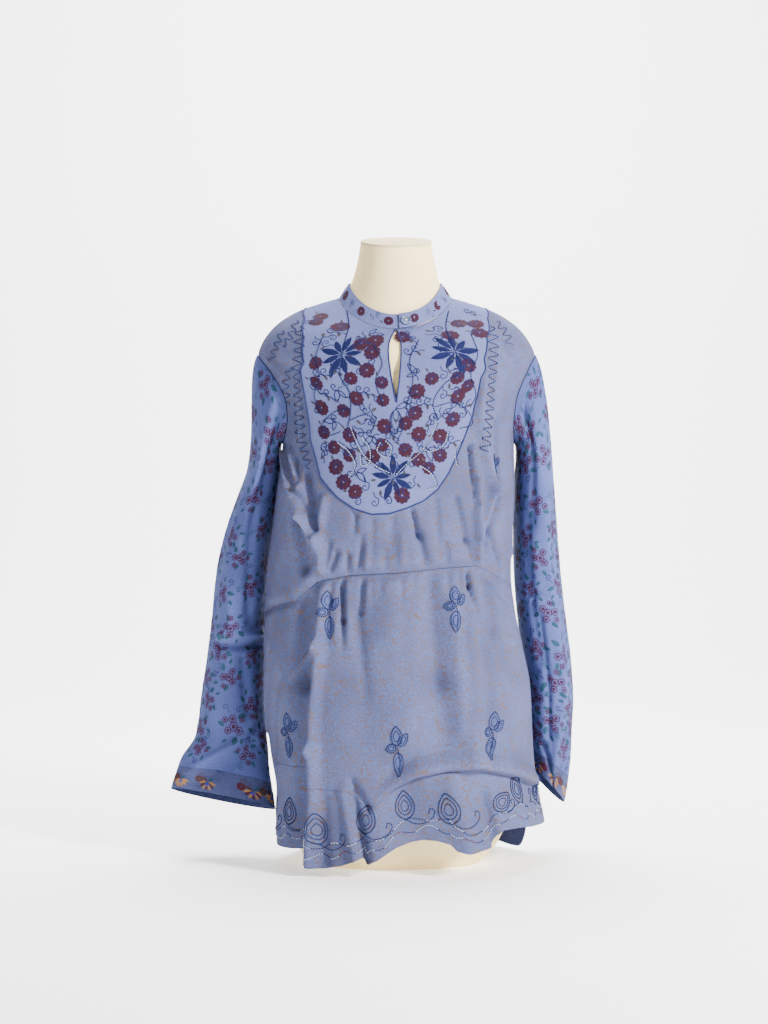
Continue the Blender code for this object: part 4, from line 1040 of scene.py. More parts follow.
def ink(name, colour, roughness=0.75, metallic=0.0, uneven=0.25):
    """Printing ink or thread, a little uneven in colour."""
    made, tree, place = new_material(name)
    blotch = noise(tree, place, 160.0, 3.0)
    fibre = noise(tree, place, 1400.0, 2.0)
    share = maths(tree, "MULTIPLY", stepped(tree, blotch, 0.35, 0.7), uneven)
    tone = blend_colours(tree, share, rgba(colour), rgba(colour, 1.5, 0.01))
    rough = scaled(tree, fibre, 0.15, roughness - 0.07)
    surface = shader(tree, tone, rough, metallic=metallic, bump=fibre, strength=0.3)
    return finished(made, tree, surface)


def jersey(name, colour, shade):
    """The dress form's knitted cover."""
    made, tree, place = new_material(name)
    slow = noise(tree, place, 9.0, 3.0)
    grain = noise(tree, place, 900.0, 2.0)
    tone = blend_colours(tree, stepped(tree, slow, 0.35, 0.7), rgba(colour), rgba(shade))
    rough = scaled(tree, grain, 0.12, 0.8)
    surface = shader(tree, tone, rough, bump=grain, strength=0.25)
    return finished(made, tree, surface)


def pearl(name, colour, shade):
    made, tree, place = new_material(name)
    swirl = noise(tree, place, 120.0, 2.0, 2.5)
    tone = blend_colours(tree, stepped(tree, swirl, 0.35, 0.65), rgba(colour), rgba(shade))
    rough = scaled(tree, swirl, 0.1, 0.22)
    surface = shader(tree, tone, rough, gloss=0.4, coat=0.25, bump=swirl, strength=0.05)
    return finished(made, tree, surface)


def plain_matt(name, colour, glow):
    made, tree, place = new_material(name)
    grain = noise(tree, place, 40.0, 2.0)
    rough = scaled(tree, grain, 0.1, 0.85)
    surface = shader(tree, rgba(colour), rough)
    surface.inputs["Emission Color"].default_value = rgba(colour)
    surface.inputs["Emission Strength"].default_value = glow
    return finished(made, tree, surface)


BODY_CLOTH = cloth(
    "body_cloth_look", (0.084, 0.104, 0.232), (0.063, 0.078, 0.178), squiggle=(0.110, 0.072, 0.050), nub=0.2
)
BIB_CLOTH = cloth("bib_cloth_look", (0.118, 0.137, 0.310), (0.102, 0.120, 0.275), nub=0.15)
SLEEVE_CLOTH = cloth("sleeve_cloth_look", (0.076, 0.096, 0.265), (0.063, 0.081, 0.232), nub=0.15)
CUFF_CLOTH = cloth("cuff_cloth_look", (0.056, 0.067, 0.165), (0.047, 0.056, 0.140), nub=0.2)
LINING = cloth("lining_look", (0.035, 0.045, 0.12), (0.028, 0.036, 0.10), nub=0.4)
JERSEY = jersey("form_jersey_look", (0.95, 0.76, 0.40), (0.91, 0.72, 0.38))
JERSEY_CAP = jersey("form_cap_look", (0.66, 0.54, 0.34), (0.62, 0.50, 0.31))
PEARL = pearl("button_pearl_look", (0.05, 0.07, 0.15), (0.12, 0.15, 0.27))
INKS = {
    "maroon": ink("ink_maroon", (0.028, 0.0065, 0.017)),
    "crimson": ink("ink_crimson", (0.046, 0.008, 0.021)),
    "teal": ink("ink_teal", (0.016, 0.048, 0.085)),
    "olive": ink("ink_olive", (0.036, 0.033, 0.036)),
    "outline": ink("ink_outline", (0.008, 0.011, 0.060)),
    "ochre": ink("ink_ochre", (0.22, 0.12, 0.05)),
    "brown": ink("ink_brown", (0.045, 0.022, 0.026)),
    "blue": ink("ink_blue", (0.015, 0.03, 0.24)),
    "white": ink("ink_white", (0.5, 0.5, 0.55)),
    "navy": ink("thread_navy", (0.005, 0.010, 0.055), roughness=0.6, uneven=0.4),
    "silver": ink("thread_silver", (0.38, 0.44, 0.58), roughness=0.3, metallic=0.3),
    "rust": ink("thread_rust", (0.12, 0.03, 0.025)),
    "wash": ink("ink_wash", (0.052, 0.065, 0.165)),
    "piping": ink("piping_navy", (0.016, 0.021, 0.085)),
    "pale": ink("thread_pale", (0.16, 0.19, 0.34)),
}


# Figures that are printed or sewn, in units of their own size, growing along +Y
PETAL = ((0.04, 0.1), (0.26, 0.28), (0.46, 0.55), (0.52, 0.8), (0.32, 1.0), (0.1, 0.96), (0.0, 0.88),
         (-0.1, 0.96), (-0.32, 1.0), (-0.52, 0.8), (-0.46, 0.55), (-0.26, 0.28), (-0.04, 0.1))
LEAF = ((0, 0), (0.13, 0.14), (0.2, 0.36), (0.17, 0.62), (0.08, 0.84), (0, 1), (-0.1, 0.84),
        (-0.19, 0.62), (-0.2, 0.36), (-0.12, 0.14))
LANCE = ((0, 0.12), (0.1, 0.3), (0.15, 0.55), (0.1, 0.8), (0, 1), (-0.1, 0.8), (-0.15, 0.55), (-0.1, 0.3))
TENDRIL = ((0, 0), (0.12, 0.3), (0.0, 0.6), (0.22, 0.85), (0.5, 0.8), (0.52, 0.55), (0.32, 0.5),
           (0.28, 0.68))
TEARDROP = ((0.0, 0.0), (0.22, 0.12), (0.34, 0.36), (0.3, 0.64), (0.14, 0.88), (0, 1.0), (-0.14, 0.88),
            (-0.3, 0.64), (-0.34, 0.36), (-0.22, 0.12))


STAR_ROWS = (
    ((0, 0.16), (0, 0.98)), ((0.06, 0.3), (0.09, 0.55), (0.03, 0.85)),
    ((-0.06, 0.3), (-0.09, 0.55), (-0.03, 0.85)),
)
SPRIG_STEM = ((0, -0.72), (0.04, -0.3), (0, 0.1))
# heading, length, foot, squeeze
SPRIG_LEAVES = (
    (0, 0.60, (0, 0.14), 0.85), (-38, 0.46, (0.06, 0.12), 0.8), (96, 0.34, (-0.04, 0.08), 1.2),
    (178, 0.72, (0.0, -0.08), 0.62),
)


def closed_curve(points, pieces=4):
    points = np.asarray(points, float)
    return smooth_line(np.concatenate([points, points[:1]]), pieces)


def printed_flower(drawing, ink_name, at, radius, turn, petals=5):
    for k in range(petals):
        drawing.polygon(ink_name, at, radius, turn + 360 * k / petals, PETAL)


def printed_leaf(drawing, ink_name, at, length, turn, width=1.0):
    drawing.polygon(ink_name, at, length, turn, LEAF, width)


def outlined(drawing, ink_name, at, size, turn, outline, width=0.9):
    drawing.line(ink_name, drawing.local(at, size, turn, closed_curve(outline)), width)


def sewn_outline(drawing, ink_name, at, size, turn, outline, width=0.9, length=2.2):
    drawing.stitches(ink_name, drawing.local(at, size, turn, closed_curve(outline)), width, length)


def sewn_star(drawing, ink_name, at, radius, turn, petals=9):
    """A big flower of lance-shaped petals, each filled with rows of stitches."""
    for k in range(petals):
        reach = radius * (1.0, 0.84, 0.93, 0.78)[k % 4]
        heading = turn + 360 * k / petals
        drawing.polygon("outline", at, reach, heading, LANCE)
        for row in STAR_ROWS:
            drawing.stitches(ink_name, drawing.local(at, reach, heading, smooth_line(row, 4)), 1.3, 1.7)
    for radius_share in (0.04, 0.1):
        circle_points = circle(radius * radius_share, 10)
        drawing.stitches(ink_name, drawing.local(at, 1.0, 0, circle_points), 1.2, 1.5)


def curl(drawing, ink_name, at, size, turn, width=0.9):
    """A tendril that ends in a loop."""
    drawing.line(ink_name, drawing.local(at, size, turn, smooth_line(TENDRIL, 5)), width)


def sprig(drawing, at, size, turn):
    """Looped leaves on a stem, each sewn round twice and filled with a darker tone."""
    drawing.stitches("navy", drawing.local(at, size, turn, smooth_line(SPRIG_STEM, 5)), 2.4, 2.6)
    for heading, reach, shift, width in SPRIG_LEAVES:
        foot = tuple(drawing.local(at, size, turn, (shift,))[0])
        outline = np.array(TEARDROP) * [width, 1.0]
        drawing.polygon("wash", foot, size * reach * 0.96, turn + heading, TEARDROP, width)
        sewn_outline(drawing, "navy", foot, size * reach, turn + heading, outline, 2.3, 2.6)
        inner = drawing.beside(foot, size * reach * 0.2, turn + heading)
        sewn_outline(drawing, "navy", inner, size * reach * 0.56, turn + heading, outline, 1.9, 2.3)


def zigzag(guide, amplitude, wavelength):
    """A rounded zigzag along a line given as the front view shows it."""
    guide = smooth_line(guide, 12)
    reach = reach_along(guide)
    at = np.arange(0, reach[-1], wavelength / 8)
    swing = amplitude * np.sin(at / wavelength * 2 * math.pi) * (0.8 + 0.2 * np.sin(at / 17))
    line = moved_sideways(points_at(at, reach, guide), swing[:, None])
    return np.stack(from_front(line[:, 0], line[:, 1]), -1)


def circle(radius, count, centre=(0.0, 0.0)):
    turn = np.arange(count) * 2 * math.pi / count
    return np.stack([centre[0] + radius * np.cos(turn), centre[1] + radius * np.sin(turn)], -1)


# The bib: where its sewn work runs, as the front view shows it
STARS = ((-70, 676, 33, 8), (76, 680, 33, 20), (-4, 514, 30, 0))
NAVY_STEMS = (
    ((-66, 742), (-62, 715), (-68, 690), (-72, 650), (-60, 626), (-58, 600), (-62, 575)),
    ((70, 738), (66, 712), (76, 684), (84, 655), (62, 636), (48, 612), (54, 588)),
    ((-58, 604), (-78, 600), (-92, 584), (-84, 570), (-70, 574)),
    ((-60, 588), (-40, 596), (-28, 588), (-32, 574), (-48, 572)),
    ((50, 606), (74, 612), (92, 600), (96, 584), (80, 578)),
    ((46, 616), (24, 622), (20, 606), (34, 600)),
    ((-96, 700), (-104, 672), (-98, 648), (-104, 622), (-94, 600)),
    ((98, 706), (106, 676), (96, 650), (102, 624), (94, 606)),
    ((-16, 606), (-26, 640), (-18, 664), (-30, 690)), ((14, 610), (22, 640), (18, 668), (30, 696)),
)
SILVER_STEMS = (
    ((-58, 580), (-50, 560), (-40, 542), (-24, 528), (-8, 520)),
    ((-44, 566), (-34, 552), (-34, 534), (-44, 530), (-46, 546)),
    ((52, 584), (42, 562), (28, 544), (12, 530), (0, 518)),
    ((66, 574), (60, 556), (44, 548), (34, 552)), ((-74, 560), (-60, 548), (-52, 530), (-60, 514)),
    ((30, 530), (44, 520), (50, 504), (38, 498)), ((84, 566), (74, 548), (76, 530)),
    ((-20, 560), (-24, 548), (-12, 540), (-6, 552), (-14, 562)),
)
KEYHOLE_LEAF = ((0, 603, 44, 180),)
BACK_HEM_LEAVES = (
    (102, 36, 6), (121, 34, -8), (140, 38, 10), (160, 34, -6), (180, 37, 4), (199, 36, -10), (218, 38, 8),
    (236, 34, -4), (253, 36, 10),
)
LEFT_STRIP = ((-127, 716), (-126, 690), (-128, 650), (-124, 610), (-120, 570), (-108, 525))
RIGHT_STRIP = ((125, 716), (128, 690), (124, 655), (120, 620), (114, 580), (108, 548))
SHOULDER_ZIGZAGS = (
    ((-132, 726), (-140, 700), (-150, 690)), ((-150, 712), (-158, 690), (-164, 668)),
    ((134, 724), (146, 706), (150, 690)), ((-136, 660), (-142, 640), (-140, 610)),
)
SPRIGS = (
    (-84, 338, 40, 6), (74, 345, 40, -4), (-136, 180, 38, -3), (2, 166, 42, 5), (122, 182, 40, -8),
)
BODICE_SPRIG = ((127, 525, 30, 10),)
BACK_SPRIGS = (
    (120, 350, 40, 4), (168, 300, 41, -6), (205, 372, 40, 8), (238, 270, 38, -3), (140, 190, 40, 9),
    (188, 165, 41, -4), (228, 170, 40, 5), (150, 480, 38, -5), (214, 520, 39, 6),
)
HEM_LEAVES = (
    (-76, 34, 6), (-58, 36, -8), (-36, 40, 6), (-15, 38, -10), (4, 36, 6), (21, 40, 10), (40, 32, -50),
    (56, 40, 14), (76, 34, -8),
)


# How the bib's print is laid out, in millimetres on the flat map
BIB_SEED = 11
BIB_ROWS = np.arange(476, 800, 18.5)
BIB_COLUMNS = np.arange(-228, 230, 32.0)
BIB_STAGGER = 16.0
BIB_SCATTER = 4.5
BIB_PRINT_TOP = 800
BIB_PRINT_REACH = 235
PRINT_FROM_SEAM = 12
PRINT_FROM_STAR = 25
PRINT_FROM_KEYHOLE = 15
KEYHOLE_LEVELS = (608, 760)
THINNED_ABOVE = 702


def bib_places():
    """Where the print's figures go: staggered rows, clear of the seam and the keyhole."""
    stars = np.array([front_at(x, z) for x, z, _, _ in STARS]) * [MM_PER_DEGREE, 1]
    spread = np.random.default_rng(BIB_SEED)
    for row, y in enumerate(BIB_ROWS):
        for col, x in enumerate(BIB_COLUMNS):
            at = np.array([x + (row % 2) * BIB_STAGGER, y]) + spread.uniform(-BIB_SCATTER, BIB_SCATTER, 2)
            turn, size, pick = spread.uniform(0, 72), spread.uniform(8.6, 10.8), (row * 3 + col * 5) % 7
            if not inside(BIB_REGION, at[None])[0] or distance_to(BIB_SEAM, at[None])[0] < PRINT_FROM_SEAM:
                continue
            off_bib = at[1] > BIB_PRINT_TOP or abs(at[0]) > BIB_PRINT_REACH
            near_key = abs(at[0]) < PRINT_FROM_KEYHOLE and KEYHOLE_LEVELS[0] < at[1] < KEYHOLE_LEVELS[1]
            thinned = at[1] > THINNED_ABOVE and (row + col) % 2
            if off_bib or near_key or thinned:
                continue
            near_star = np.linalg.norm((stars - at) * [0.7, 1.0], axis=1).min() < PRINT_FROM_STAR
            yield (at[0] / MM_PER_DEGREE, at[1]), turn, size, near_star, pick


def bib_figure(drawing, place, turn, size, near_star, pick):
    """A leaf near a star; elsewhere a flower, a curl with leaves or outlined leaves."""
    if near_star:
        printed_leaf(drawing, "olive", place, 7.5, turn * 5)
    elif pick < 4:
        printed_flower(drawing, "maroon", place, size, turn)
        printed_leaf(drawing, "olive", drawing.beside(place, 10.5, turn + 20), 6.5, turn + 20)
    elif pick < 6:
        curl(drawing, "outline", place, 17, turn * 5, 1.2)
        printed_leaf(drawing, "olive", place, 8.0, turn * 5 + 90, 1.2)
        printed_leaf(drawing, "maroon", drawing.beside(place, 7, turn * 5), 6.0, turn * 5)
    else:
        outlined(drawing, "outline", place, 17, turn * 5, LEAF, 1.2)
        outlined(drawing, "outline", place, 13, turn * 5 + 70, LEAF, 1.2)
        printed_leaf(drawing, "olive", place, 6.0, turn * 5 - 60)
    curl(drawing, "outline", drawing.beside(place, 10, turn * 5 + 150), 18, turn * 4, 1.1)


def draw_bib(drawing):
    """The print first, then the stars, stems and the leaf by the keyhole in thread."""
    for figure in bib_places():
        bib_figure(drawing, *figure)
    for x, z, size, turn in STARS:
        sewn_star(drawing, "navy", front_at(x, z), size, turn)
    for stem in NAVY_STEMS:
        drawing.stitches("navy", front_line(stem), 2.3, 2.8)
    for stem in SILVER_STEMS:
        drawing.stitches("silver", front_line(stem), 1.8, 3.0)
        shifted = np.array(stem, float) + (2.2, 1.2)
        drawing.stitches("navy", front_line(shifted), 1.6, 2.8)
    for x, z, size, turn in KEYHOLE_LEAF:
        at = front_at(x, z)
        for scale in (1.0, 0.72, 0.42):
            sewn_outline(drawing, "navy", at, size * scale, turn, LEAF, 1.9, 2.4)


def draw_bodice(drawing):
    for strip in (LEFT_STRIP, RIGHT_STRIP):
        drawing.stitches("navy", zigzag(strip, 7.0, 12.0), 2.0, 2.9)
    for strip in SHOULDER_ZIGZAGS:
        drawing.stitches("navy", zigzag(strip, 5.0, 11.5), 1.7, 2.6)
    draw_sprigs(drawing, front_places(BODICE_SPRIG))


def front_places(table):
    """A table of figures placed as the front view shows them, in surface coordinates."""
    return [(*front_at(x, z), size, turn) for x, z, size, turn in table]


def draw_sprigs(drawing, places):
    for angle, level, size, turn in places:
        sprig(drawing, (angle, level), size, turn)


UPPER_THREADS = ("navy", "silver", "navy", "navy", "silver")
LOWER_THREADS = ("silver", "navy", "silver", "rust", "navy", "silver")
HEM_SCROLL = ((0, 0), (0.3, -0.14), (0.62, -0.12), (0.9, 0.06), (1.0, 0.3), (0.84, 0.38), (0.8, 0.2))


def draw_hem(drawing, hem, angles, leaves):
    """Looped leaves above two wavy rows of thread, and the stitches that hold the hem."""
    along = np.arange(angles[0], angles[1], 0.35)
    reach = along * MM_PER_DEGREE
    base = hem(along)
    upper = base + 27 + 3.4 * np.sin(reach / 7.5) + 2.0 * np.sin(reach / 23)
    lower = base + 15 + 3.4 * np.sin(reach / 5.5 + 1.3) + 1.6 * np.sin(reach / 31)
    for k, start in enumerate(range(0, len(along) - 12, 12)):
        part = slice(start, start + 13)
        for threads, wave in ((UPPER_THREADS, upper), (LOWER_THREADS, lower)):
            line = np.stack([along[part], wave[part]], -1)
            drawing.stitches(threads[k % len(threads)], line, 1.7, 3.0)
    drawing.stitches("pale", np.stack([along, base + 5.5], -1), 0.4, 2.4)
    for angle, size, turn in leaves:
        level = float(hem(np.array([float(angle)]))[0]) + 31
        at = (angle, level)
        for scale, lift, width in ((1.0, 0.0, 2.4), (0.7, 0.15, 2.0), (0.4, 0.28, 1.9)):
            foot = drawing.beside(at, size * lift, turn)
            sewn_outline(drawing, "navy", foot, size * scale, turn, TEARDROP, width, 2.2)
        drawing.stitches("navy", drawing.local(at, size, 0, smooth_line(HEM_SCROLL, 5)), 1.9, 2.6)


# distance, heading, radius
SPRAY_FLOWERS = ((0, 0, 5.6), (9.5, 20, 4.8), (9, 150, 5.0), (10, 265, 4.4), (15, 330, 3.6), (16, 85, 3.4))
# distance, heading, length
SPRAY_LEAVES = ((12, 60, 12), (13, 195, 13), (14, 300, 11), (19, 120, 10), (20, 235, 9))


def draw_spray(drawing, at, turn, size=1.0):
    """A spray of outlined flowers with solid leaves round it."""
    for distance, heading, radius in SPRAY_FLOWERS:
        place = drawing.beside(at, distance * size, heading + turn)
        wavy = [(1 + 0.16 * math.sin(5 * t)) * np.array((math.cos(t), math.sin(t)))
                for t in np.linspace(0, 2 * math.pi, 16)]
        drawing.line("crimson", drawing.local(place, radius * size, turn, wavy), 1.05)
        printed_flower(drawing, "crimson", place, radius * 0.52 * size, turn + heading, 4)
    for distance, heading, length in SPRAY_LEAVES:
        place = drawing.beside(at, distance * size, heading + turn)
        printed_leaf(drawing, "teal", place, length * size, heading + turn + 25, 1.25)
    curl(drawing, "outline", drawing.beside(at, 18 * size, turn + 175), 14 * size, turn + 150, 0.8)
    curl(drawing, "teal", drawing.beside(at, 18 * size, turn + 10), 13 * size, turn + 10, 0.8)


SLEEVE_SEED, CUFF_SEED = 21, 31


def draw_sleeve(drawing, cuff_from, seed):
    spread = np.random.default_rng(seed)
    for row, place in enumerate((-0.8, -0.5, -0.22, *np.arange(0.05, cuff_from - 0.04, 0.085))):
        for col in range(6):
            turn = col * 60 + (row % 2) * 30 + spread.uniform(-7, 7)
            at = (sleeve_turn(turn), place + spread.uniform(-0.015, 0.015))
            draw_spray(drawing, at, spread.uniform(0, 360), spread.uniform(0.78, 1.0))


def draw_cuff(drawing, cuff_from, seed):
    """Fanned flowers and scrolls round the cuff."""
    spread = np.random.default_rng(seed)
    middle = (cuff_from + 1) / 2
    for k in range(9):
        at = (sleeve_turn(k * 40 + spread.uniform(-4, 4)), middle + 0.004)
        main = ("crimson", "ochre", "brown")[k % 3]
        for fan in range(7):
            drawing.polygon(main if fan % 2 else "ochre", at, 13, -75 + fan * 25, LANCE)
        for fan in range(3):
            drawing.polygon("blue", at, 8, -30 + fan * 30, LANCE)
        printed_flower(drawing, "crimson" if k % 2 else "brown", drawing.beside(at, 13, 100), 5.5, 20 * k)
        printed_leaf(drawing, "brown", at, 12, 120, 0.8)
        printed_leaf(drawing, "teal", at, 11, -125, 0.8)
        curl(drawing, "brown", drawing.beside(at, 6, 180), 15, 90 + 15 * k, 0.8)


WHOLE_TURN = np.arange(0, 361)


SLEEVE_RING = np.stack([
    SLEEVE_HALF_WIDTH * np.cos(np.radians(WHOLE_TURN)), SLEEVE_HALF_DEPTH * np.sin(np.radians(WHOLE_TURN)),
], -1)
SLEEVE_REACH = reach_along(SLEEVE_RING)


def sleeve_reach(turn):
    """How far round a sleeve a turn in degrees lies, in millimetres of cloth."""
    return np.interp(turn, WHOLE_TURN, SLEEVE_REACH)


def sleeve_turn(even):
    """The turn at an even share of the way round a flattened sleeve, both in degrees."""
    turn = np.interp(even % 360, SLEEVE_REACH / SLEEVE_REACH[-1] * 360, WHOLE_TURN)
    return float(turn + 360 * (even // 360))


def collar_lap(travel):
    """How far the collar's outer end is raised over the end under it."""
    return (COLLAR_WALL + 2 * SEAM_GAP) * smooth_step((COLLAR_LAP["from"] - travel) / COLLAR_LAP["run"])


def collar_surface(travel, share):
    """The collar band as a surface: travel runs from its under end round the neck to its lap."""
    return collar_points(travel, collar_lap(travel), share)


def draw_collar(drawing):
    for k in range(21):
        travel = -8 - 16.6 * k
        if k % 2 == 0:
            printed_flower(drawing, "maroon", (travel, 0.5), 6.6, 25 * k)
            printed_leaf(drawing, "olive", (travel - 5.5, 0.3), 6.0, 60 - 40 * (k % 3))
        else:
            outlined(drawing, "outline", (travel, 0.35), 9, 70 - 30 * (k % 4), LEAF, 0.6)
            curl(drawing, "outline", (travel + 4, 0.5), 10, 30 * k, 0.6)


# The blouse's pieces
def straight(start, end, spacing):
    return resampled(np.array([start, end], float), spacing)


def bib_polygon(spacing):
    seam = moved_sideways(bib_edge(spacing), SEAM_GAP / 2)
    key_angle, key_level = outline_on_surface(KEYHOLE)
    keyhole = smooth_line(flat_map(key_angle, key_level), 4)
    top = NECKLINE - SEAM_GAP
    left_corner, right_corner = [seam[0][0], top], [seam[-1][0], top]
    up, down = straight(seam[-1], right_corner, spacing), straight(left_corner, seam[0], spacing)
    neck_right = straight(right_corner, [KEYHOLE_HALF_TOP, top], spacing)
    neck_left = straight([-KEYHOLE_HALF_TOP, top], left_corner, spacing)
    return np.concatenate([seam, up[1:], neck_right[1:], keyhole, neck_left, down[1:-1]]), keyhole


def bodice_polygon(spacing):
    side = (90 - SIDE_GAP) * MM_PER_DEGREE
    angles = np.linspace(-90 + SIDE_GAP, 90 - SIDE_GAP, 151)
    waist = flat_map(angles, waist_level(angles) + half_seam(waist_level, angles))
    turns = np.linspace(180, 0, 61)
    right_armhole = armhole_edge(1, ARMHOLE_FRONT_RIGHT, turns)
    left_armhole = armhole_edge(-1, ARMHOLE_FRONT_LEFT, turns[::-1])
    right_armhole[:, 0] = np.minimum(right_armhole[:, 0], side)
    left_armhole[:, 0] = np.maximum(left_armhole[:, 0], -side)
    seam = moved_sideways(bib_edge(spacing), -SEAM_GAP / 2)[::-1]
    seam[0, 0], seam[-1, 0] = side, -side
    up_right = straight(waist[-1], right_armhole[0], spacing)
    shoulder_right = straight(right_armhole[-1], seam[0], spacing)
    shoulder_left = straight(seam[-1], left_armhole[0], spacing)
    down_left = straight(left_armhole[-1], waist[0], spacing)
    return np.concatenate([
        waist, up_right[1:], right_armhole[1:], shoulder_right[1:], seam[1:], shoulder_left[1:],
        left_armhole[1:], down_left[1:-1],
    ])


def back_polygon(spacing):
    near, far = 90 + SIDE_GAP, 270 - SIDE_GAP
    across = np.linspace(near, far, 81)
    low = flat_map(across, back_band_level(across) + SEAM_GAP / 2)
    turns = np.linspace(180, 360, 49)
    right_armhole = armhole_edge(1, 0.0, turns)
    left_armhole = armhole_edge(-1, 0.0, turns[::-1])
    right_armhole[:, 0] = np.maximum(right_armhole[:, 0], near * MM_PER_DEGREE)
    left_armhole[:, 0] = np.minimum(left_armhole[:, 0], far * MM_PER_DEGREE)
    top = NECKLINE - SEAM_GAP
    corner_left, corner_right = [far * MM_PER_DEGREE, top], [near * MM_PER_DEGREE, top]
    up_left = straight(low[-1], left_armhole[-1], spacing)
    shoulder_left = straight(left_armhole[0], corner_left, spacing)
    neck = straight(corner_left, corner_right, spacing)
    shoulder_right = straight(corner_right, right_armhole[-1], spacing)
    down_right = straight(right_armhole[0], low[0], spacing)
    return np.concatenate([
        low, up_left[1:-1], left_armhole[::-1], shoulder_left[1:], neck[1:], shoulder_right[1:-1],
        right_armhole[::-1], down_right[1:-1],
    ])


def back_band_level(angle):
    return np.full(np.shape(angle), BACK_BAND_LEVEL)


def tube_shell(name, surface, side, turns, places, materials):
    """A closed sleeve or cuff. Its flat map is the way round by the way down."""
    turn, place = np.meshgrid(turns, places)
    turn, place = turn.ravel(), place.ravel()
    normal = surface_normal(surface, turn, place, 3.0, 0.012, (-1, 1)) * side
    outer = surface(turn, place)
    down = np.where(place < 0, SLEEVE_CAP_DROP, SLEEVE_DROP) * place
    flat = np.stack([sleeve_reach(turn), -down], -1)
    faces = grid_faces(len(places), len(turns), closed=True)
    made = add_shell(name, outer, outer - normal * CLOTH_WALL, faces, flat, *materials)
    unwrap_seam(made, float(sleeve_reach(360)) * MM)
    return made


def unwrap_seam(made, girth):
    """Faces that cross a tube's seam get map places on one side of it."""
    layer = made.data.uv_layers["cloth"].data
    places = np.zeros(len(layer) * 2, np.float32)
    layer.foreach_get("uv", places)
    places = places.reshape(-1, 3, 2)
    across = places[..., 0]
    split = (across.max(1) - across.min(1) > girth / 2)[:, None]
    places[..., 0] = np.where(split & (across < girth / 2), across + girth, across)
    layer.foreach_set("uv", places.ravel())


def seam_strip(name, surface, line, half_width, depth, made_of):
    """The turned-in edges behind a seam. The line is on the flat map."""
    columns = [moved_sideways(line, offset) for offset in (-half_width, 0.0, half_width)]
    places = np.stack(columns, 1).reshape(-1, 2)
    angle, level = off_flat_map(places)
    points = raised(surface, angle, np.clip(level, 1.0, NECKLINE - 0.5), -depth)
    return new_object(name, points, grid_faces(len(line), 3), [made_of])


def collar_shell(materials):
    under = np.linspace(COLLAR_UNDER_END, -10, 13)[:-1]
    travel = np.concatenate([under, np.linspace(-10, COLLAR_LAPPED_END, 170)])
    shares = np.array([0.0, 0.04, 0.12, 0.25, 0.4, 0.5, 0.6, 0.75, 0.88, 0.96, 1.0])
    angle, share = (axis.ravel() for axis in np.meshgrid(travel, shares))
    rise = collar_lap(angle)
    waves = 0.22 * np.sin(angle / 4.1) * np.sin(angle / 9.7 + share * 2)
    puffed = 0.35 * np.sin(math.pi * share) - 0.15 + waves
    edge = smooth_step(np.minimum(share, 1 - share) / 0.1)
    outer = collar_points(angle, rise + puffed * edge, share)
    inner = collar_points(angle, rise - COLLAR_WALL * (0.55 + 0.45 * edge), share)
    flat = np.stack([angle * COLLAR_MM_PER_DEGREE, share * COLLAR_BAND], -1)
    return add_shell("collar", outer, inner, grid_faces(len(shares), len(travel)), flat, *materials)


def button_frame():
    """The middle of the button's back and the directions across, up and out of it."""
    seat_rise = COLLAR_WALL + 3.5 * SEAM_GAP
    travel = BUTTON_AT["travel"] + np.array([0.0, 2.0, 0.0])
    share = BUTTON_AT["share"] + np.array([0.0, 0.0, 0.2])
    seat, beside, above = collar_points(travel, np.full(3, seat_rise), share)
    facing = unit(np.cross(beside - seat, above - seat))
    across = unit(np.cross([0.0, 0.0, 1.0], facing))
    return seat, across, np.cross(facing, across), facing


def button_shell(made_of):
    """A four-hole button with a raised rim."""
    seat, across, up, facing = button_frame()
    rings = [circle(radius * BUTTON_DIAMETER / 2, 48) for radius, _ in FINE_BUTTON_PROFILE]
    holes = [circle(BUTTON_HOLE_RADIUS, 14, centre) for centre in circle(BUTTON_HOLE_CIRCLE, 4)]
    loops = rings + holes
    edges, first = [], 0
    for loop in loops:
        edges += [(first + k, first + (k + 1) % len(loop)) for k in range(len(loop))]
        first += len(loop)
    made = delaunay_2d_cdt([tuple(p) for p in np.concatenate(loops)], edges, [], 0, 1e-5)
    flat = np.array([tuple(p) for p in made[0]])
    middles = np.array([flat[list(face)].mean(0) for face in made[2]])
    in_hole = np.any([inside(hole, middles) for hole in holes], axis=0)
    faces = [tuple(int(c) for c in face) for face, dropped in zip(made[2], in_hole) if not dropped]
    reach = np.hypot(flat[:, 0], flat[:, 1]) / (BUTTON_DIAMETER / 2)
    profile = list(reversed(FINE_BUTTON_PROFILE))
    height = np.interp(reach, [radius for radius, _ in profile], [height for _, height in profile])
    foot = flat * np.where(reach > 0.99, 0.93, 1.0)[:, None]
    top = seat + flat[:, :1] * across + flat[:, 1:] * up + height[:, None] * facing
    back = seat + foot[:, :1] * across + foot[:, 1:] * up
    return add_shell("shirt_button", top, back, faces, flat, made_of, made_of)


def button_thread(made_of):
    """Two crossed bars of thread, each of three strands."""
    seat, across, up, facing = button_frame()
    made = []
    corners = circle(BUTTON_HOLE_CIRCLE, 4)
    for bar, (start, end) in enumerate(((corners[0], corners[2]), (corners[1], corners[3]))):
        for strand, offset in enumerate((-STRAND_SPACING, 0.0, STRAND_SPACING)):
            sideways = np.array([-(end - start)[1], (end - start)[0]]) / (2 * BUTTON_HOLE_CIRCLE) * offset
            share = np.linspace(0, 1, 11)
            bow = np.sin(math.pi * share)
            flat = start + (end - start) * share[:, None] + sideways * (0.6 + 0.4 * bow[:, None])
            height = 0.9 + 1.05 * bow ** 0.5 + 0.32 * bar * bow
            line = seat + flat[:, :1] * across + flat[:, 1:] * up + height[:, None] * facing
            made.append(add_tube(f"button_thread_{bar}_{strand}", line, STRAND_RADIUS, made_of, sides=6))
    return made


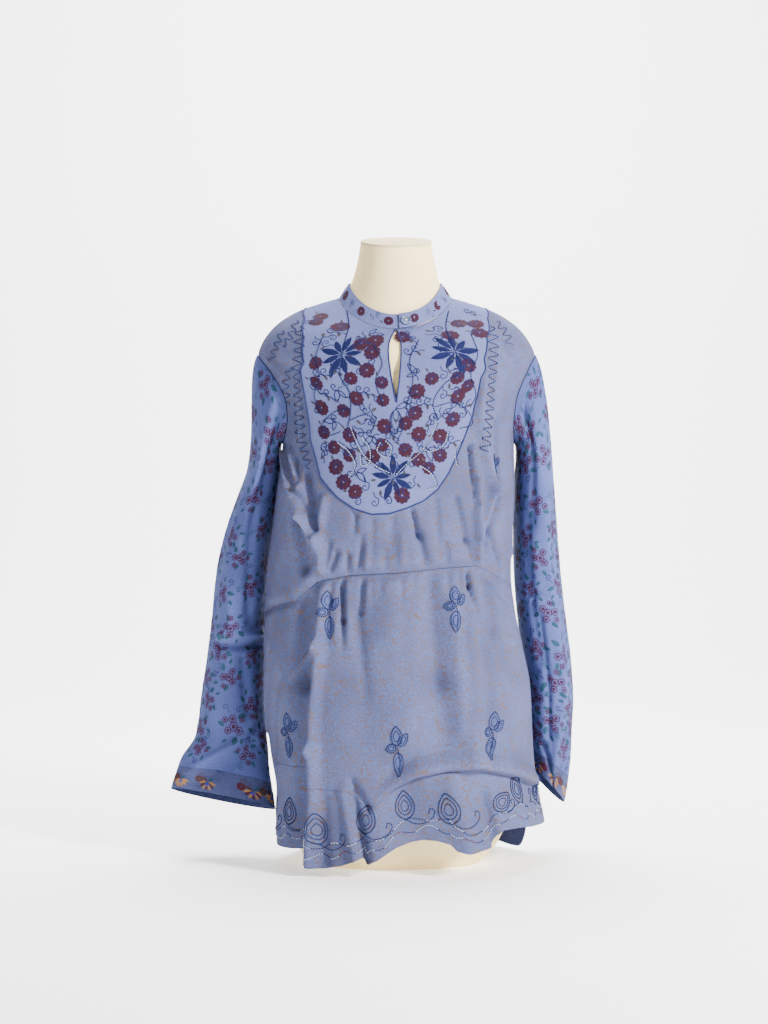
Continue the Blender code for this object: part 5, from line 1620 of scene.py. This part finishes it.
def closed_stack(rows, columns):
    """Faces over a stack of rings, with both ends closed."""
    faces = grid_faces(rows, columns, closed=True)
    faces.append(tuple(reversed(range(columns))))
    faces.append(tuple((rows - 1) * columns + c for c in range(columns)))
    return faces


def form_shells():
    """The dress form's body and the slanted cap of its neck."""
    angles = np.arange(120) * 3.0
    levels = np.concatenate([
        np.linspace(0, 12, 3), np.linspace(20, 540, 53), np.linspace(550, 813, 60)
    ])
    angle, level = np.meshgrid(angles, levels)
    torso = form_surface(angle.ravel(), level.ravel()).reshape(len(levels), len(angles), 3)
    neck = smooth_rings([single_ring(ring, angles) for ring in NECK_RINGS])
    cap_ring = neck_plane_ring(angles, NECK_TOP["cap"] + SEAM_GAP)
    rings = np.concatenate([torso, neck, [cap_ring]])
    rows, columns = rings.shape[:2]
    faces = closed_stack(rows, columns)
    torso = new_object("dress_form", rings.reshape(-1, 3), faces, [JERSEY])
    torso.data.set_sharp_from_angle(angle=math.radians(50))
    cap_rings = [neck_plane_ring(angles, below) for below in (NECK_TOP["cap"], 0.5)]
    cap_rings.append(neck_plane_ring(angles, 0.0) * [0.985, 0.985, 1.0])
    faces = closed_stack(len(cap_rings), columns)
    cap = new_object("dress_form_neck_cap", np.concatenate(cap_rings), faces, [JERSEY_CAP])
    cap.data.set_sharp_from_angle(angle=math.radians(40))
    rim_line = neck_plane_ring(angles, NECK_TOP["cap"] + 0.1)
    rim = add_tube("dress_form_neck_rim", rim_line * [1.004, 1.004, 1.0], 0.55, JERSEY_CAP, closed=True)
    return torso, cap, rim


def smooth_rings(rings, pieces=4):
    """Rings between the given ones, along curves through their points."""
    rings = np.array(rings)
    lines = [smooth_line(rings[:, k], pieces) for k in range(rings.shape[1])]
    return np.stack(lines, 1)


# Between the points of each piece's mesh, in millimetres
SPACING = {"bib": 3.5, "bodice": 3.6, "back": 7.0}


def build_all():
    """Every piece but the sleeves and cuffs, and the keyhole's line on the flat map."""
    made = {}
    made["form"] = form_shells()
    cloths = (BODY_CLOTH, LINING)
    bib_outline, keyhole = bib_polygon(SPACING["bib"])
    made["bib"] = cut_shell("bib_plastron", front_surface, bib_outline, SPACING["bib"], (BIB_CLOTH, LINING))
    bodice = bodice_polygon(SPACING["bodice"])
    made["bodice"] = cut_shell("bodice_front", front_surface, bodice, SPACING["bodice"], cloths)
    across = np.linspace(-90 + SIDE_GAP, 90 - SIDE_GAP, 221)
    made["skirt"] = grid_shell("skirt_front", front_surface, across, band_level, waist_level, 90, cloths)
    made["hem"] = grid_shell("hem_band_front", front_surface, across, front_hem_level, band_level, 26, cloths)
    back = back_polygon(SPACING["back"])
    made["back"] = cut_shell("back", back_surface, back, SPACING["back"], cloths)
    rear = np.linspace(90 + SIDE_GAP, 270 - SIDE_GAP, 121)
    made["back_hem"] = grid_shell(
        "hem_band_back", back_surface, rear, back_hem_level, back_band_level, 16, cloths
    )
    made["collar"] = collar_shell((BIB_CLOTH, BIB_CLOTH))
    made["button"] = button_shell(PEARL)
    made["thread"] = button_thread(INKS["white"])
    return made, keyhole


pieces, KEYHOLE_LINE = build_all()
SLEEVES = (
    ("left", SLEEVE_LEFT, -1, ARMHOLE_FRONT_LEFT, SLEEVE_LEFT_FOLDS),
    ("right", SLEEVE_RIGHT, 1, ARMHOLE_FRONT_RIGHT, SLEEVE_RIGHT_FOLDS),
)
sleeve_faces = {}
for hand, table, side, depth, folds in SLEEVES:
    worn = sleeve_surface(table, side, depth, folds)
    hang = abs(table[0][0] - table[-1][0])
    cuff_from = 1 - CUFF_HEIGHT / hang
    gap = 1.6 * SEAM_GAP / hang
    around = np.arange(96) * 3.75
    down = np.concatenate([np.linspace(-1, -0.02, 50), np.linspace(0, cuff_from - gap, 106)])
    pieces[f"sleeve_{hand}"] = tube_shell(
        f"long_sleeve_{hand}", worn, side, around, down, (SLEEVE_CLOTH, LINING)
    )
    cuff_places = np.linspace(cuff_from, 1, 16)
    pieces[f"cuff_{hand}"] = tube_shell(
        f"cuff_{hand}", worn, side, around, cuff_places, (CUFF_CLOTH, LINING)
    )
    sleeve_faces[hand] = (worn, side, cuff_from)


# Prints, stitching and edges on the pieces
DRAWN_LEVELS = (5, NECKLINE)
SEAM_EDGE_WIDTH = 5.0
SEAM_EDGE_GAP = 0.25
FRONT, BACK = (front_surface, (-90, 90)), (back_surface, (90, 270))
# piece, name, surface and its angles, what draws it, details
BODY_DRAWINGS = (
    ("bib", "bib_print", FRONT, draw_bib, ()),
    ("bodice", "bodice_stitching", FRONT, draw_bodice, ()),
    ("skirt", "skirt_stitching", FRONT, draw_sprigs, (front_places(SPRIGS),)),
    ("hem", "hem_stitching", FRONT, draw_hem, (front_hem_level, (-89.3, 89.3), HEM_LEAVES)),
    ("back", "back_stitching", BACK, draw_sprigs, (BACK_SPRIGS,)),
    ("back_hem", "back_hem_stitching", BACK, draw_hem, (back_hem_level, (91.0, 269.0), BACK_HEM_LEAVES)),
)
on_pieces = {}
for piece, name, (surface, angles), draw, details in BODY_DRAWINGS:
    drawing = Drawing(surface, angles, DRAWN_LEVELS)
    draw(drawing, *details)
    on_pieces[piece] = drawing.build(name, INKS)
travels = (-356, COLLAR_UNDER_END)
drawing = Drawing(collar_surface, travels, (0.05, 0.95), steps=(1.0, 0.04), limits=(0.0, 1.0))
draw_collar(drawing)
on_pieces["collar"] = drawing.build("collar_print", INKS)
for hand, (worn, side, cuff_from) in sleeve_faces.items():
    for part, places, draw, seed in (
        ("sleeve", (-0.985, cuff_from - 0.006), draw_sleeve, SLEEVE_SEED),
        ("cuff", (cuff_from + 0.004, 0.997), draw_cuff, CUFF_SEED),
    ):
        drawing = Drawing(worn, (0, 720), places, side=side, steps=(3.0, 0.01), limits=(-1, 1))
        draw(drawing, cuff_from, seed + side)
        on_pieces[f"{part}_{hand}"] = drawing.build(f"{part}_print_{hand}", INKS)


def add_cord(name, line, lift, radius):
    """A cord along a line of the flat map, its middle lifted off the front."""
    return add_tube(name, raised(front_surface, *off_flat_map(line), lift), radius, INKS["piping"])


key_ends = [[-KEYHOLE_HALF_TOP, NECKLINE - 1]], [[KEYHOLE_HALF_TOP, NECKLINE - 1]]
key_line = np.concatenate([key_ends[0], KEYHOLE_LINE[::-1], key_ends[1]])
on_pieces["bib"].append(add_cord("bib_piping", bib_edge(2.5), 0.35, 0.95))
on_pieces["bib"].append(add_cord("keyhole_binding", key_line, -0.2, 1.0))
front_angles, back_angles = np.linspace(-89.3, 89.3, 160), np.linspace(90.7, 269.3, 120)
for piece, name, surface, line in (
    ("bib", "bib_seam_edges", front_surface, bib_edge(3.0)),
    ("bodice", "waist_seam_edges", front_surface, flat_map(front_angles, waist_level(front_angles))),
    ("hem", "hem_band_edges", front_surface, flat_map(front_angles, band_level(front_angles))),
    ("back_hem", "back_band_edges", back_surface, flat_map(back_angles, back_band_level(back_angles))),
):
    strip = seam_strip(name, surface, line, SEAM_EDGE_WIDTH, CLOTH_WALL + SEAM_EDGE_GAP, LINING)
    on_pieces[piece].append(strip)


# What each piece is: its CAD node, material slot, how it is held, what it rests on and its flat cut
# piece, node, slot, held, rests on, flat width, flat length, flat area where the cut is no rectangle
CLOTH_PIECES = (
    ("bib", "bib", "bib_cloth", "draped", ("dress_form",), 0.32, 0.30, 0.060),
    ("bodice", "front_bodice", "body_cloth", "gathered", ("dress_form",), 0.52, 0.42, 0.108),
    ("skirt", "front_skirt", "body_cloth", "gathered", ("bodice_front",), 0.62, 0.29, 0.139),
    ("hem", "front_hem_band", "body_cloth", "hung", ("skirt_front",), 0.60, 0.088, 0.049),
    ("back", "back_panel", "body_cloth", "draped", ("dress_form",), 0.50, 0.72, 0.294),
    ("back_hem", "back_hem_band", "body_cloth", "hung", ("back",), 0.48, 0.089, 0.041),
    ("sleeve_left", "sleeve_left", "sleeve_cloth", "hung", ("back", "bodice_front"), 0.33, 0.56, 0.166),
    ("sleeve_right", "sleeve_right", "sleeve_cloth", "hung", ("back", "bodice_front"), 0.30, 0.55, 0.150),
    ("cuff_left", "cuff_band_left", "cuff_cloth", "hung", ("long_sleeve_left",), 0.342, 0.031, None),
    ("cuff_right", "cuff_band_right", "cuff_cloth", "hung", ("long_sleeve_right",), 0.266, 0.031, None),
    ("collar", "collar_band", "bib_cloth", "draped", ("dress_form",), 0.43, 0.022, None),
)
for piece, node, slot, held, rests_on, width, length, area in CLOTH_PIECES:
    whole = pieces[piece]
    added = on_pieces.get(piece, [])
    for each in (whole, *added):
        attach(each, "root")
    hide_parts(node)
    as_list(rests_on)
    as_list(added)

button = pieces["button"]
for slot, parts in (("form_jersey", pieces["form"]), ("button_pearl", (button, *pieces["thread"]))):
    for each in parts:
        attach(each, "root")
torso, cap, _ = pieces["form"]
for each, node in ((torso, "form_torso"), (cap, "form_neck_cap"), (button, "button")):
    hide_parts(node)


# Floor, light and camera
BACKDROP_GLOW = 0.85
WORLD_STRENGTH = 0.15
# name, place, aim, size, power, colour
LIGHTS = (
    ("key_light", (2.1, -1.9, 1.55), (0, 0, 0.42), 0.5, 290.0, (1.0, 0.985, 0.96)),
    ("fill_light", (-1.2, -2.9, 0.8), (0, 0, 0.42), 1.0, 24.0, (0.95, 0.97, 1.0)),
    ("backdrop_light", (0, 1.0, 2.9), (0, 2.9, 0.2), 2.4, 420.0, (1.0, 1.0, 1.0)),
)


def build_backdrop():
    """A pale floor that curves up behind."""
    across = (-6000.0, 6000.0)
    turn = np.radians(np.linspace(0, 90, 25))
    curve_from, radius = 2200.0, 1500.0
    profile = [(-5000.0, 0.0), (curve_from, 0.0)]
    profile += [(curve_from + radius * math.sin(a), radius * (1 - math.cos(a))) for a in turn[1:]]
    profile.append((curve_from + radius, 6000.0))
    points = [(x, y, z) for y, z in profile for x in across]
    faces = [(2 * k, 2 * k + 1, 2 * k + 3, 2 * k + 2) for k in range(len(profile) - 1)]
    looks = [plain_matt("backdrop_look", (0.94, 0.94, 0.94), BACKDROP_GLOW)]
    made = new_object("backdrop", points, faces, looks)


def add_area_light(name, place, aim, size, power, colour):
    lamp = bpy.data.lights.new(name, "AREA")
    lamp.shape, lamp.size, lamp.energy, lamp.color = "DISK", size, power, colour
    made = bpy.data.objects.new(name, lamp)
    made.location = place
    heading = np.array(aim, float) - np.array(place)
    yaw = math.atan2(heading[1], heading[0]) - math.pi / 2
    pitch = math.atan2(heading[2], math.hypot(heading[0], heading[1])) + math.pi / 2
    made.rotation_euler = (pitch, 0, yaw)
    bpy.context.scene.collection.objects.link(made)


build_backdrop()
for light in LIGHTS:
    add_area_light(*light)
world = bpy.data.worlds.new("studio")
world.use_nodes = True
background = world.node_tree.nodes["Background"]
background.inputs["Color"].default_value = (1.0, 1.0, 1.0, 1.0)
background.inputs["Strength"].default_value = WORLD_STRENGTH
bpy.context.scene.world = world

camera = bpy.data.objects.new("camera", bpy.data.cameras.new("camera"))
camera.data.sensor_fit = "HORIZONTAL"
camera.data.sensor_width = 36.0
camera.data.lens = 36.0 * CAMERA_DISTANCE / (IMAGE[0] * MM_PER_PIXEL)
camera.data.shift_x = (IMAGE[0] / 2 - CENTRE_PIXEL) / IMAGE[0]
camera.location = (0, -CAMERA_DISTANCE * MM, CAMERA_HEIGHT * MM)
camera.rotation_euler = (math.radians(90), 0, 0)
bpy.context.scene.collection.objects.link(camera)
bpy.context.scene.camera = camera
